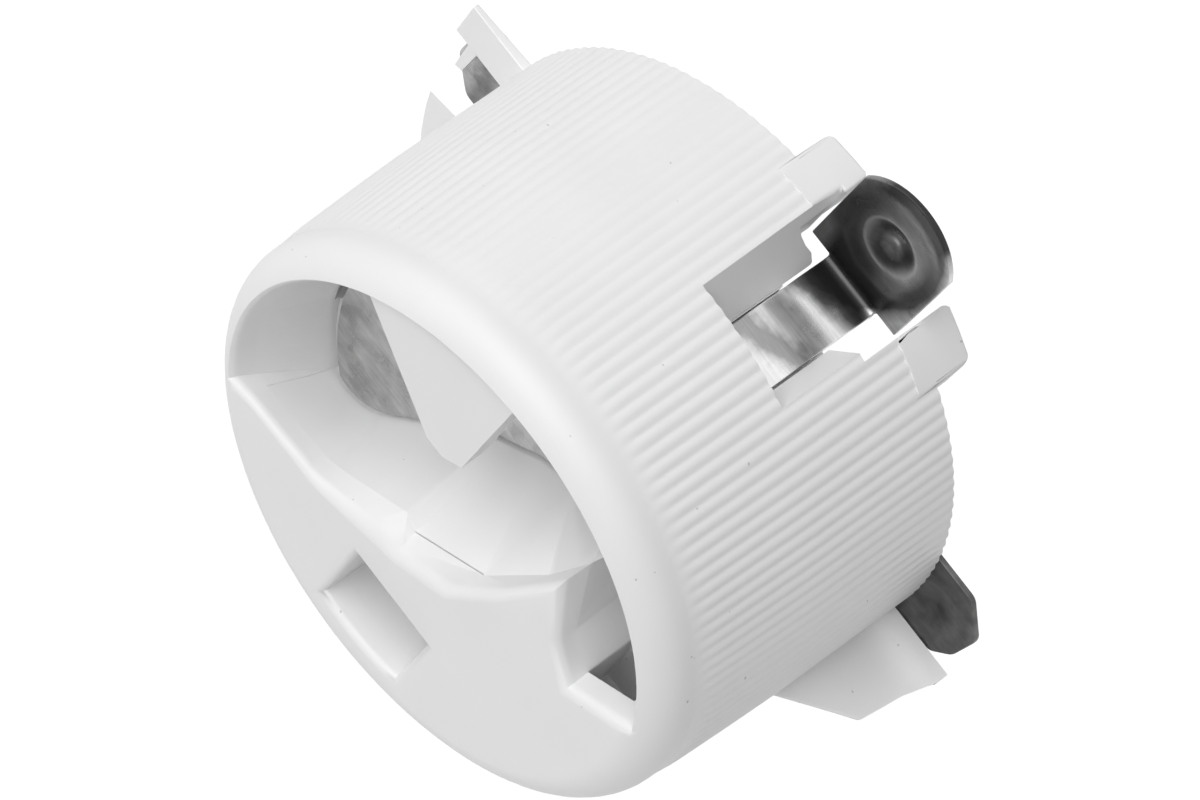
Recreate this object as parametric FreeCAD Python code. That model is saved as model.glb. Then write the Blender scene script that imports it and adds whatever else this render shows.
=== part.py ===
import FreeCAD, Part
import math
import os
from FreeCAD import Vector

# Twist-in lamp holder with a ribbed grip cap, a contact carrier and three
# spring contacts. Millimetres. The holder's axis is Y, X is across, Z is up.
# Depths are counted from the open grip end towards the lamp end at +Y. The
# finished pieces are moved back by the cap's length, so that the origin lies
# on the axis in the plane that seats on the lamp housing.

# Grip cap
CAP_LENGTH = 28.0
CAP_FRONT_RADIUS = 22.05
CAP_MIDDLE_RADIUS = 22.75
CAP_REAR_RADIUS = 23.0
RIM_ROUND = 3.0
RIM_BORE_RADIUS = 19.75
CAP_BORE_RADIUS = 18.3
BORE_TAPER_END = 8.3
WEB_THICKNESS = 2.2

# Grip ribs along the barrel. The profile gives places across one rib and
# the share of the rib's height there.
RIB_COUNT = 136
RIB_HEIGHT = 0.28
RIB_PROFILE = [(0, 0), (0.2, 0.72), (0.5, 1), (0.8, 0.72)]
RIB_START = 4.3
RIB_MIDDLE = 15.0

# Edge of the front web at its outer face, from left to right, as (X, Z).
# The part between the left shoulder and the horn is bevelled inwards.
WEB_LEFT = (-17.3, -9.3)
WEB_SHOULDER = (-7.5, -8.0)
WEB_CORNER = (-2.2, -5.9)
WEB_DIP = (3.4, -2.7)
HORN_LEFT = (5.9, 2.4)
HORN_TIP = (8.7, 10.6)
HORN_RIGHT = (11.2, 5.5)
WINDOW_CORNER = (14.0, 2.7)
WEB_RIGHT = (19.1, 6.0)

# The same edge where the bevel ends on the carrier
BEVEL_LEFT = (-16.9, -8.9)
BEVEL_SHOULDER = (-8.0, -6.9)
BEVEL_CORNER = (-1.4, -4.4)
BEVEL_DIP = (4.0, -0.4)
BEVEL_HORN = (7.3, 6.6)
BEVEL_TIP = (8.9, 12.2)

# Pointed tongue that hangs from the top of the rim into the mouth
TONGUE_RECESS = 0.6
TONGUE_THICKNESS = 2.0
TONGUE_RIGHT_X = -1.6
TONGUE_LEFT_X = -14.8
TONGUE_TIP = (-4.0, 8.4)
TONGUE_TIP_WIDTH = 2.2
TONGUE_SLOPE = 31.0

# Finger pocket low in the front web
POCKET_LEFT = -2.7
POCKET_RIGHT = 5.2
POCKET_TOP = -9.6
POCKET_RADIUS = 17.6
POCKET_DEPTH = 7.0

# Contact slot through the top of the barrel, a trapezium in section
SLOT_CENTRE_X = 4.4
SLOT_OUTER_WIDTH = 9.8
SLOT_INNER_WIDTH = 5.2
SLOT_INNER_Z = 18.4
SLOT_OUTER_Z = 22.4
SLOT_START = 15.5
NOTCH_START = 23.8
NOTCH_LEFT = -1.1
NOTCH_RIGHT = 9.0

# Axial lugs on both sides of the slot
LUG_END = 31.5
LUG_INNER_RADIUS = 20.6
LUG_WIDTH = 3.8

# Radial lugs that back the two side contacts
WEDGE_TOP_Z = -2.9
WEDGE_THICKNESS = 2.4
WEDGE_REACH = 29.0
HOOK_BAR_Z = 2.8
HOOK_BAR_THICKNESS = 1.5
HOOK_BAR_REACH = -28.4
HOOK_BAR_START = 24.5
SMALL_FIN_TOP_Z = -6.6
SMALL_FIN_THICKNESS = 2.2
SMALL_FIN_REACH = -26.8
SMALL_FIN_END = 26.3
LUG_ROOT_RADIUS = 20.5

# Contact carrier inside the cap
CARRIER_RADIUS = 18.15
CARRIER_FRONT = WEB_THICKNESS
CARRIER_END = 23.6
FLOOR_FRONT = 8.8
FLOOR_BACK = 11.0
SHELL_INNER_RADIUS = 16.4
SEAT_RADIUS = 7.65
SEAT_OUTER_RADIUS = 9.4
SEAT_LEDGE_RADIUS = 7.2
SEAT_LEDGE = 13.0
PIN_SLOT_WIDTH = 2.6
PIN_SLOT_BOTTOM = 15.0
PIN_SLOT_TURN = 35.0

# Foot of the main recess on its floor, from the round left end to the right
FOOT_ROUND = [(-17.2, -4.6), (-15.9, -7.6), (-12.6, -8.9)]
FOOT_SHOULDER = (-9.0, -7.1)
FOOT_CORNER = (-3.0, 1.4)
FOOT_DIP = (0.8, 5.2)
FOOT_HORN = (3.4, 6.4)
FOOT_TIP = (7.2, 9.0)

# Recess beside the horn, where the right contact's blade lies bare
WINDOW_LOW_LEFT = (11.8, -1.0)
WINDOW_LOW = (12.2, -7.2)
WINDOW_LOW_RIGHT = (17.5, -7.2)

# Spring contacts, bent from sheet
SHEET = 0.5
BEND_RADIUS = 0.75
LEG_WIDTH = 4.8
LEG_OUTER = 18.1
LEG_WAVE = 0.4
HEAD_FRONT = CAP_LENGTH
HEAD_SHOULDER = 18.3
DIMPLE_REACH = 25.1
SIDE_DIMPLE_REACH = 24.65
SIDE_HEAD_CORNER = 26.0
SIDE_HEAD_REACH = 28.3
SIDE_HEAD_TIP = 2.0
DIMPLE_RADIUS = 2.7
DIMPLE_TIP_RADIUS = 0.7
DIMPLE_HEIGHT = 0.9
ROUND_HEAD_RADIUS = 5.0
HEAD_HALF_WIDTH = 4.3
SIDE_OFFSET = 1.75
PAD_RADIUS = 3.0
PAD_REACH = 3.6
PLATE_RADIUS = 17.5
FINGER_X = -5.7
FINGER_WIDTH = 2.4
FINGER_ROOT_Z = 5.2
FINGER_TIP_Z = 1.4
FINGER_TIP_Y = 12.0
JOGGLE_START = 7.2
JOGGLE_END = 9.6
PLAY = 0.1

Y_AXIS = Vector(0, 1, 0)
ORIGIN = Vector(0, 0, 0)
CLEAR = 5.0


def at(point, y=0.0):
    """A 3-D point from its place (X, Z) across the axis and its depth."""
    return Vector(point[0], y, point[1])


def prism(points, start, end):
    """A straight-sided solid from start to end along the axis."""
    corners = [at(point, start) for point in points]
    face = Part.Face(Part.makePolygon(corners + corners[:1]))
    return face.extrude(Vector(0, end - start, 0))


def block(x_range, y_range, z_range):
    """A box between two corners."""
    low = Vector(x_range[0], y_range[0], z_range[0])
    size = [high - start for start, high in (x_range, y_range, z_range)]
    return Part.makeBox(size[0], size[1], size[2], low)


def drum(radius, start, end, centre=(0, 0)):
    """A plain cylinder along the holder's axis."""
    return Part.makeCylinder(radius, end - start, at(centre, start), Y_AXIS)


def on_radius(point, radius):
    """The same direction as point, moved to the given radius."""
    scale = radius / math.hypot(point[0], point[1])
    return point[0] * scale, point[1] * scale


def path_edges(points, y):
    """Straight edges through points at one depth."""
    pairs = zip(points, points[1:])
    return [Part.LineSegment(at(a, y), at(b, y)).toShape() for a, b in pairs]


def arc_edge(start, middle, end, y):
    """One arc through three points at one depth."""
    return Part.Arc(at(start, y), at(middle, y), at(end, y)).toShape()


def smooth_rim():
    """The unribbed front of the barrel with its rounded rim."""
    flat = CAP_FRONT_RADIUS - RIM_ROUND
    half = math.sqrt(0.5) * RIM_ROUND
    end_radius = CAP_FRONT_RADIUS + 0.05
    flat_end = Vector(flat, 0, 0)
    round_middle = Vector(flat + half, RIM_ROUND - half, 0)
    round_end = Vector(CAP_FRONT_RADIUS, RIM_ROUND, 0)
    rear = Vector(end_radius, RIB_START, 0)
    centre = Vector(0, RIB_START, 0)
    edges = [
        Part.LineSegment(ORIGIN, flat_end).toShape(),
        Part.Arc(flat_end, round_middle, round_end).toShape(),
        Part.LineSegment(round_end, rear).toShape(),
        Part.LineSegment(rear, centre).toShape(),
        Part.LineSegment(centre, ORIGIN).toShape(),
    ]
    return Part.Face(Part.Wire(edges)).revolve(ORIGIN, Y_AXIS, 360)


def ribbed_ring(crest_radius, y):
    """A closed ring with one rounded rib after another, four flats to each."""
    step = 2 * math.pi / RIB_COUNT
    root_radius = crest_radius - RIB_HEIGHT
    places = []
    for number in range(RIB_COUNT):
        for part, share in RIB_PROFILE:
            angle = (number + part) * step
            radius = root_radius + share * RIB_HEIGHT
            places.append((radius * math.cos(angle), radius * math.sin(angle)))
    return Part.Wire(path_edges(places + places[:1], y))


def ribbed_barrel():
    """The outer form of the cap: smooth rim, then ribs on a swollen taper."""
    front_crest = CAP_FRONT_RADIUS + 0.2
    rings = [
        ribbed_ring(front_crest, RIB_START),
        ribbed_ring(CAP_MIDDLE_RADIUS, RIB_MIDDLE),
        ribbed_ring(CAP_REAR_RADIUS, CAP_LENGTH),
    ]
    return Part.makeLoft(rings, True, True).fuse(smooth_rim())


def cap_bore():
    """The inside of the cap behind its web: a short taper, then straight."""
    outline = [
        (0, WEB_THICKNESS),
        (RIM_BORE_RADIUS - 0.3, WEB_THICKNESS),
        (CAP_BORE_RADIUS, BORE_TAPER_END),
        (CAP_BORE_RADIUS, CAP_LENGTH + CLEAR),
        (0, CAP_LENGTH + CLEAR),
    ]
    corners = [Vector(radius, y, 0) for radius, y in outline]
    face = Part.Face(Part.makePolygon(corners + corners[:1]))
    return face.revolve(ORIGIN, Y_AXIS, 360)


def mouth_wire(points, radius, y):
    """The mouth's outline: the web's edge, closed by the rim over the top."""
    left = on_radius(points[0], radius)
    right = on_radius(points[-1], radius)
    crown = (-0.3 * radius, radius * math.sqrt(1 - 0.3 ** 2))
    edges = path_edges([left] + points[1:-1] + [right], y)
    edges.append(arc_edge(right, crown, left, y))
    return Part.Wire(edges)


def web_mouth():
    """The opening in the front web, its lower edge bevelled inwards."""
    outer = [WEB_LEFT, WEB_SHOULDER, WEB_CORNER, WEB_DIP, HORN_LEFT, HORN_TIP]
    inner = [BEVEL_LEFT, BEVEL_SHOULDER, BEVEL_CORNER, BEVEL_DIP, BEVEL_HORN, BEVEL_TIP]
    rest = [HORN_RIGHT, WINDOW_CORNER, WEB_RIGHT]
    front = mouth_wire(outer + rest, RIM_BORE_RADIUS, 0)
    rear = mouth_wire(inner + rest, RIM_BORE_RADIUS - 0.3, WEB_THICKNESS)
    return Part.makeLoft([front, rear], True, True)


def tongue():
    """The pointed tongue, straight on its right and sloping on its left."""
    tip_x, tip_z = TONGUE_TIP
    half = TONGUE_TIP_WIDTH / 2
    slope = math.tan(math.radians(TONGUE_SLOPE))
    left_z = tip_z + slope * (tip_x - half - TONGUE_LEFT_X)
    points = [
        (TONGUE_RIGHT_X, RIM_BORE_RADIUS + 1),
        (TONGUE_RIGHT_X, tip_z + 1.2),
        (tip_x + half, tip_z),
        (tip_x - half, tip_z),
        (TONGUE_LEFT_X, left_z),
    ]
    plate = prism(points, TONGUE_RECESS, TONGUE_RECESS + TONGUE_THICKNESS)
    return plate.common(drum(RIM_BORE_RADIUS + 0.4, 0, BORE_TAPER_END))


def finger_pocket():
    """The pocket low in the web, with a round outer end."""
    z_range = (-CAP_REAR_RADIUS, POCKET_TOP)
    box = block((POCKET_LEFT, POCKET_RIGHT), (-1, POCKET_DEPTH), z_range)
    return box.common(drum(POCKET_RADIUS, -1, POCKET_DEPTH))


def contact_slot():
    """The trapezium slot and the wider notch at the far end."""
    outer_half = SLOT_OUTER_WIDTH / 2
    inner_half = SLOT_INNER_WIDTH / 2
    spread = (outer_half - inner_half) / (SLOT_OUTER_Z - SLOT_INNER_Z)
    top_z = CAP_REAR_RADIUS + 1
    top_half = outer_half + spread * (top_z - SLOT_OUTER_Z)
    points = [
        (SLOT_CENTRE_X - inner_half, SLOT_INNER_Z - CLEAR),
        (SLOT_CENTRE_X + inner_half, SLOT_INNER_Z - CLEAR),
        (SLOT_CENTRE_X + inner_half, SLOT_INNER_Z),
        (SLOT_CENTRE_X + top_half, top_z),
        (SLOT_CENTRE_X - top_half, top_z),
        (SLOT_CENTRE_X - inner_half, SLOT_INNER_Z),
    ]
    slot = prism(points, SLOT_START, CAP_LENGTH + 1)
    depth = (NOTCH_START, LUG_END + 1)
    notch = block((NOTCH_LEFT, NOTCH_RIGHT), depth, (12, CAP_REAR_RADIUS + 1))
    return slot.fuse(notch)


def axial_lug(inner_x, side):
    """A lug that carries the barrel's surface on past its end."""
    ring = drum(CAP_REAR_RADIUS - 0.1, NOTCH_START, LUG_END)
    ring = ring.cut(drum(LUG_INNER_RADIUS, NOTCH_START - 1, LUG_END + 1))
    edges = sorted([inner_x, inner_x + side * LUG_WIDTH])
    return ring.common(block(edges, (NOTCH_START, LUG_END), (10, 25)))


def fin(outline, top_z, thickness):
    """A flat fin from (X, Y) points, hanging below its top face."""
    corners = [Vector(x, y, top_z) for x, y in outline]
    face = Part.Face(Part.makePolygon(corners + corners[:1]))
    return face.extrude(Vector(0, 0, -thickness))


def wedge_lug():
    """The long ramp under the right contact."""
    outline = [
        (LUG_ROOT_RADIUS, 13.6),
        (22.5, 15.4),
        (27.7, 20.0),
        (28.2, 24.0),
        (WEDGE_REACH, 27.4),
        (WEDGE_REACH, CAP_LENGTH),
        (LUG_ROOT_RADIUS, CAP_LENGTH),
    ]
    return fin(outline, WEDGE_TOP_Z, WEDGE_THICKNESS)


def hook_bar():
    """The bar over the left contact, with a small hook under its end."""
    top_z = HOOK_BAR_Z + HOOK_BAR_THICKNESS
    outline = [
        (-LUG_ROOT_RADIUS, HOOK_BAR_START),
        (HOOK_BAR_REACH, HOOK_BAR_START),
        (HOOK_BAR_REACH, CAP_LENGTH - 0.6),
        (-LUG_ROOT_RADIUS, CAP_LENGTH),
    ]
    bar = fin(outline, top_z, HOOK_BAR_THICKNESS)
    hook_points = [(-26.9, top_z), (-26.9, HOOK_BAR_Z), (-26.3, -0.1), (-25.3, HOOK_BAR_Z)]
    hook = prism(hook_points + [(-25.3, top_z)], HOOK_BAR_START, HOOK_BAR_START + 1.5)
    return bar.fuse(hook)


def small_fin():
    """The small ramp under the left contact."""
    outline = [
        (-LUG_ROOT_RADIUS, 17.5),
        (-23.2, 21.2),
        (-24.9, 23.4),
        (-26.2, 25.2),
        (SMALL_FIN_REACH, SMALL_FIN_END),
        (-LUG_ROOT_RADIUS, SMALL_FIN_END),
    ]
    return fin(outline, SMALL_FIN_TOP_Z, SMALL_FIN_THICKNESS)


def leg_grooves(start, end, inner):
    """Room for the three contact legs between cap and carrier."""
    half = LEG_WIDTH / 2 + PLAY
    outer = LEG_OUTER + PLAY
    depth = (start, end)
    low = SIDE_OFFSET - half
    high = SIDE_OFFSET + half
    across = (SLOT_CENTRE_X - half, SLOT_CENTRE_X + half)
    top = block(across, depth, (inner, outer + LEG_WAVE))
    right = block((inner, outer), depth, (low, high))
    left = block((-outer, -inner), depth, (-high, -low))
    return top.fuse([right, left])


def bend_reliefs():
    """The eased edges that the side contacts bend round at the cap's end."""
    half = LEG_WIDTH / 2 + PLAY
    depth = (CAP_LENGTH - BEND_RADIUS, CAP_LENGTH + 1)
    reach = LEG_OUTER + BEND_RADIUS
    low = SIDE_OFFSET - half
    high = SIDE_OFFSET + half
    right = block((CAP_BORE_RADIUS - 1, reach), depth, (low, high))
    left = block((-reach, 1 - CAP_BORE_RADIUS), depth, (-high, -low))
    return [right, left]


def grip_cap():
    """The whole cap as one moulding."""
    cap = ribbed_barrel().cut(cap_bore()).cut(web_mouth())
    lugs = [
        axial_lug(NOTCH_LEFT, -1),
        axial_lug(NOTCH_RIGHT, 1),
        wedge_lug(),
        hook_bar(),
        small_fin(),
        tongue(),
    ]
    cap = cap.fuse(lugs)
    cap = cap.cut([contact_slot(), finger_pocket()] + bend_reliefs())
    inner = SHELL_INNER_RADIUS
    return cap.cut(leg_grooves(BORE_TAPER_END, CAP_LENGTH + 1, inner))


def recess_wire(arc_points, points, y):
    """One outline of the main recess, open to the rim on its upper left."""
    edges = [arc_edge(*arc_points, y)]
    over_rim = [(-1.0, 21.5), (-15.5, 15.0)]
    edges += path_edges([arc_points[2]] + points + over_rim + [arc_points[0]], y)
    return Part.Wire(edges)


def main_recess():
    """The recess under the mouth, leaning in to the plate's outline."""
    mouth_round = [(-19.4, -4.0), (-18.6, -7.6), (-15.8, -8.7)]
    mouth = [BEVEL_SHOULDER, BEVEL_CORNER, BEVEL_DIP, BEVEL_HORN, BEVEL_TIP, (9.6, 17.6)]
    foot = [FOOT_SHOULDER, FOOT_CORNER, FOOT_DIP, FOOT_HORN, FOOT_TIP, (7.3, 18.4)]
    top = recess_wire(mouth_round, mouth, CARRIER_FRONT)
    bottom = recess_wire(FOOT_ROUND, foot, BORE_TAPER_END)
    funnel = Part.makeLoft([top, bottom], True, True)
    floor = Part.Face(bottom).extrude(Vector(0, FLOOR_FRONT - BORE_TAPER_END, 0))
    return funnel.fuse(floor)


def side_window():
    """The recess beside the horn, straight down to the carrier's floor."""
    points = [BEVEL_TIP, HORN_RIGHT, WINDOW_LOW_LEFT, WINDOW_LOW, WINDOW_LOW_RIGHT]
    points += [(21.0, 0.0), (19.0, 10.0), (12.0, 18.0), (9.7, 17.6)]
    return prism(points, CARRIER_FRONT - 1, BORE_TAPER_END)


def blade_channel():
    """The channel of the right contact's blade, open to the lamp end."""
    half = LEG_WIDTH / 2 + PLAY
    z_range = (SIDE_OFFSET - half, SIDE_OFFSET + half)
    x_range = (JOGGLE_START - 0.4, CARRIER_RADIUS + 1)
    return block(x_range, (BORE_TAPER_END - PLAY, FLOOR_BACK + 0.1), z_range)


def blade_slots():
    """Slots through shell and seat wall for the two side contacts' blades."""
    half = LEG_WIDTH / 2 + PLAY
    low = SIDE_OFFSET - half
    high = SIDE_OFFSET + half
    depth = (FLOOR_BACK, FLOOR_BACK + SHEET + PLAY)
    inside = SEAT_RADIUS - 3
    left = block((-CARRIER_RADIUS - 1, -inside), depth, (-high, -low))
    right = block((inside, SEAT_OUTER_RADIUS + 1), depth, (low, high))
    bend = LEG_OUTER - SHEET - PLAY - BEND_RADIUS
    bend_depth = (FLOOR_BACK, FLOOR_BACK + SHEET + BEND_RADIUS)
    left_bend = block((-CARRIER_RADIUS - 1, -bend), bend_depth, (-high, -low))
    top_depth = (FLOOR_FRONT, FLOOR_FRONT + BEND_RADIUS)
    across = (SLOT_CENTRE_X - half, SLOT_CENTRE_X + half)
    top_bend = block(across, top_depth, (bend, CARRIER_RADIUS + 1))
    return [left, right, left_bend, top_bend]


def pin_slots():
    """Two hooked slots in the seat wall for the pins of a bayonet base."""
    half = PIN_SLOT_WIDTH / 2
    reach = SEAT_OUTER_RADIUS + 1
    run = block((-half, half), (PIN_SLOT_BOTTOM, CARRIER_END + 1), (-reach, reach))
    ring = drum(reach, PIN_SLOT_BOTTOM, PIN_SLOT_BOTTOM + PIN_SLOT_WIDTH)
    turn = math.radians(PIN_SLOT_TURN)
    side = (reach * 2 * math.sin(turn), reach * 2 * math.cos(turn))
    wedge = prism([(0, 0), side, (0, 2 * reach)], PIN_SLOT_BOTTOM, CARRIER_END)
    opposite = wedge.copy()
    opposite.rotate(ORIGIN, Y_AXIS, 180)
    return run.fuse([ring.common(wedge), ring.common(opposite)])


def finger_window(play, end):
    """The opening that the lanced finger bends down through."""
    half = FINGER_WIDTH / 2 + play
    z_range = (FINGER_TIP_Z - play, FINGER_ROOT_Z + play)
    across = (FINGER_X - half, FINGER_X + half)
    return block(across, (BORE_TAPER_END - 1, end), z_range)


def contact_carrier():
    """The insert: front block with its recesses, floor, shell and lamp seat."""
    body = drum(CARRIER_RADIUS, CARRIER_FRONT, CARRIER_END)
    ring = drum(SHELL_INNER_RADIUS, FLOOR_BACK, CARRIER_END + 1)
    ring = ring.cut(drum(SEAT_OUTER_RADIUS, FLOOR_BACK - 1, CARRIER_END + 2))
    seat = drum(SEAT_RADIUS, SEAT_LEDGE, CARRIER_END + 1)
    well = drum(SEAT_LEDGE_RADIUS, FLOOR_BACK, SEAT_LEDGE + 1)
    body = body.cut([ring, seat, well, main_recess(), side_window(), finger_pocket()])
    body = body.cut(blade_slots())
    body = body.cut([blade_channel(), finger_window(0.3, FLOOR_BACK + 1)])
    slots = pin_slots().cut(drum(SEAT_RADIUS - 1, 0, CARRIER_END + 1))
    inner = LEG_OUTER - SHEET - PLAY
    legs = leg_grooves(BORE_TAPER_END - PLAY, CARRIER_END + 1, inner)
    return body.cut([slots, legs])


def bent_strip(path, width, middle_z):
    """A sheet strip along a path of (X, Y) points, with rounded bends."""
    points = [Vector(x, y, middle_z - width / 2) for x, y in path]
    edges = []
    last = points[0]
    for before, corner, after in zip(points, points[1:], points[2:]):
        inward = (before - corner).normalize()
        onward = (after - corner).normalize()
        half_angle = inward.getAngle(onward) / 2
        setback = min(BEND_RADIUS / math.tan(half_angle), 1.2)
        radius = setback * math.tan(half_angle)
        start = corner + inward * setback
        end = corner + onward * setback
        to_middle = (inward + onward).normalize()
        middle = corner + to_middle * (radius / math.sin(half_angle) - radius)
        edges.append(Part.LineSegment(last, start).toShape())
        edges.append(Part.Arc(start, middle, end).toShape())
        last = end
    edges.append(Part.LineSegment(last, points[-1]).toShape())
    spine = Part.Wire(edges)
    outer = spine.makeOffset2D(SHEET / 2, 0, False, True, True)
    inner = spine.makeOffset2D(-SHEET / 2, 0, False, True, True)
    ends = [
        Part.LineSegment(outer.OrderedVertexes[0].Point, inner.OrderedVertexes[0].Point),
        Part.LineSegment(outer.OrderedVertexes[-1].Point, inner.OrderedVertexes[-1].Point),
    ]
    loop = outer.Edges + inner.Edges + [line.toShape() for line in ends]
    face = Part.Face(Part.Wire(Part.__sortEdges__(loop)))
    return face.extrude(Vector(0, 0, width))


def round_head():
    """Outline of the top contact's head: square shoulders, round end."""
    half = HEAD_HALF_WIDTH
    rise = math.sqrt(ROUND_HEAD_RADIUS ** 2 - half ** 2)
    square = block(
        (HEAD_SHOULDER, DIMPLE_REACH + rise),
        (HEAD_FRONT, HEAD_FRONT + SHEET),
        (-half, half),
    )
    round_end = drum(
        ROUND_HEAD_RADIUS, HEAD_FRONT, HEAD_FRONT + SHEET, (DIMPLE_REACH, 0)
    )
    beyond = block(
        (DIMPLE_REACH, DIMPLE_REACH + ROUND_HEAD_RADIUS),
        (HEAD_FRONT, HEAD_FRONT + SHEET),
        (-ROUND_HEAD_RADIUS, ROUND_HEAD_RADIUS),
    )
    return square.fuse(round_end.common(beyond))


def blunt_head():
    """Outline of a side contact's head: a tab with two cut corners."""
    half = HEAD_HALF_WIDTH
    points = [
        (HEAD_SHOULDER, -half),
        (SIDE_HEAD_CORNER, -half),
        (SIDE_HEAD_REACH, -SIDE_HEAD_TIP),
        (SIDE_HEAD_REACH, SIDE_HEAD_TIP),
        (SIDE_HEAD_CORNER, half),
        (HEAD_SHOULDER, half),
    ]
    return prism(points, HEAD_FRONT, HEAD_FRONT + SHEET)


def dimple(reach):
    """The pressed cone near the head's end, as solid and as hollow."""
    front = at((reach, 0), HEAD_FRONT)
    back = at((reach, 0), HEAD_FRONT + SHEET)
    cone = Part.makeCone(DIMPLE_RADIUS, DIMPLE_TIP_RADIUS, DIMPLE_HEIGHT, back, Y_AXIS)
    hollow = Part.makeCone(
        DIMPLE_RADIUS - 0.2, DIMPLE_TIP_RADIUS - 0.3, DIMPLE_HEIGHT, front, Y_AXIS
    )
    return cone, hollow


def spring_contact(path, head, dimple_reach, lateral, turn):
    """One contact, made pointing along +X and then turned about the axis."""
    strip = bent_strip(path, LEG_WIDTH, 0)
    cone, hollow = dimple(dimple_reach)
    contact = strip.fuse([head, cone]).cut(hollow)
    contact.translate(Vector(0, 0, lateral))
    contact.rotate(ORIGIN, Y_AXIS, turn)
    return contact


def leg_path(start, blade_y):
    """Blade, bend and leg of a side contact, ending inside its head."""
    leg = LEG_OUTER - SHEET / 2
    head_y = HEAD_FRONT + SHEET / 2
    return start + [(leg, blade_y), (leg, head_y), (HEAD_SHOULDER + 2.5, head_y)]


def right_contact():
    """Blade on the carrier's floor, joggled down to its lamp pad."""
    pad_y = FLOOR_BACK + SHEET / 2
    blade_y = BORE_TAPER_END + SHEET / 2
    start = [(PAD_REACH, pad_y), (JOGGLE_START, pad_y), (JOGGLE_END, blade_y)]
    path = leg_path(start, blade_y)
    contact = spring_contact(path, blunt_head(), SIDE_DIMPLE_REACH, SIDE_OFFSET, 0)
    pad = drum(PAD_RADIUS, FLOOR_BACK, FLOOR_BACK + SHEET, (PAD_REACH, SIDE_OFFSET))
    return contact.fuse(pad)


def left_contact():
    """Blade along the back of the floor to the second lamp pad."""
    blade_y = FLOOR_BACK + SHEET / 2
    path = leg_path([(PAD_REACH, blade_y)], blade_y)
    contact = spring_contact(path, blunt_head(), SIDE_DIMPLE_REACH, SIDE_OFFSET, 180)
    pad = drum(PAD_RADIUS, FLOOR_BACK, FLOOR_BACK + SHEET, (-PAD_REACH, -SIDE_OFFSET))
    return contact.fuse(pad)


def contact_plate():
    """The round-ended plate on the floor of the main recess."""
    foot = [FOOT_SHOULDER, FOOT_CORNER, FOOT_DIP, FOOT_HORN, FOOT_TIP, (7.3, 18.4)]
    face = Part.Face(recess_wire(FOOT_ROUND, foot, BORE_TAPER_END))
    plate = face.extrude(Vector(0, SHEET, 0)).common(
        drum(PLATE_RADIUS, BORE_TAPER_END, FLOOR_FRONT)
    )
    edge_x = SLOT_CENTRE_X - LEG_WIDTH / 2
    relief = block((-8.0, edge_x), (0, CAP_LENGTH), (13.5, CAP_REAR_RADIUS))
    return plate.cut([relief, finger_window(0.1, FLOOR_BACK)])


def earth_finger():
    """The finger lanced from the plate and bent down to the lamp's shell."""
    plate_y = BORE_TAPER_END + SHEET / 2
    root = (FINGER_ROOT_Z + 1, plate_y)
    bend = (FINGER_ROOT_Z - 0.8, plate_y)
    tip = (FINGER_TIP_Z + 0.4, FINGER_TIP_Y)
    finger = bent_strip([root, bend, tip], FINGER_WIDTH, 0)
    finger.translate(Vector(0, 0, -FINGER_X))
    finger.rotate(ORIGIN, Y_AXIS, -90)
    return finger


def top_contact():
    """Plate, waved leg in the slot of the cap, and round head."""
    leg = LEG_OUTER - SHEET / 2
    head_y = HEAD_FRONT + SHEET / 2
    path = [
        (PLATE_RADIUS - 4, BORE_TAPER_END + SHEET / 2),
        (leg, BORE_TAPER_END + SHEET / 2),
        (leg, 18.4),
        (leg + LEG_WAVE, 21.0),
        (leg, 23.4),
        (leg + LEG_WAVE * 0.8, 25.4),
        (leg, head_y),
        (HEAD_SHOULDER + 2.5, head_y),
    ]
    contact = spring_contact(path, round_head(), DIMPLE_REACH, -SLOT_CENTRE_X, -90)
    return contact.fuse([contact_plate(), earth_finger()])


def main():
    os.makedirs("parts", exist_ok=True)
    pieces = {
        "grip_cap": grip_cap(),
        "contact_carrier": contact_carrier(),
        "top_contact": top_contact(),
        "left_contact": left_contact(),
        "right_contact": right_contact(),
    }
    for name, shape in pieces.items():
        print(name, shape.isValid(), len(shape.Solids), round(shape.Volume, 1))
        shape.translate(Vector(0, -CAP_LENGTH, 0))
        shape.exportStep("parts/" + name + ".step")


main()
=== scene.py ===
import math
import bmesh
import bpy
from mathutils import Matrix, Vector


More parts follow.
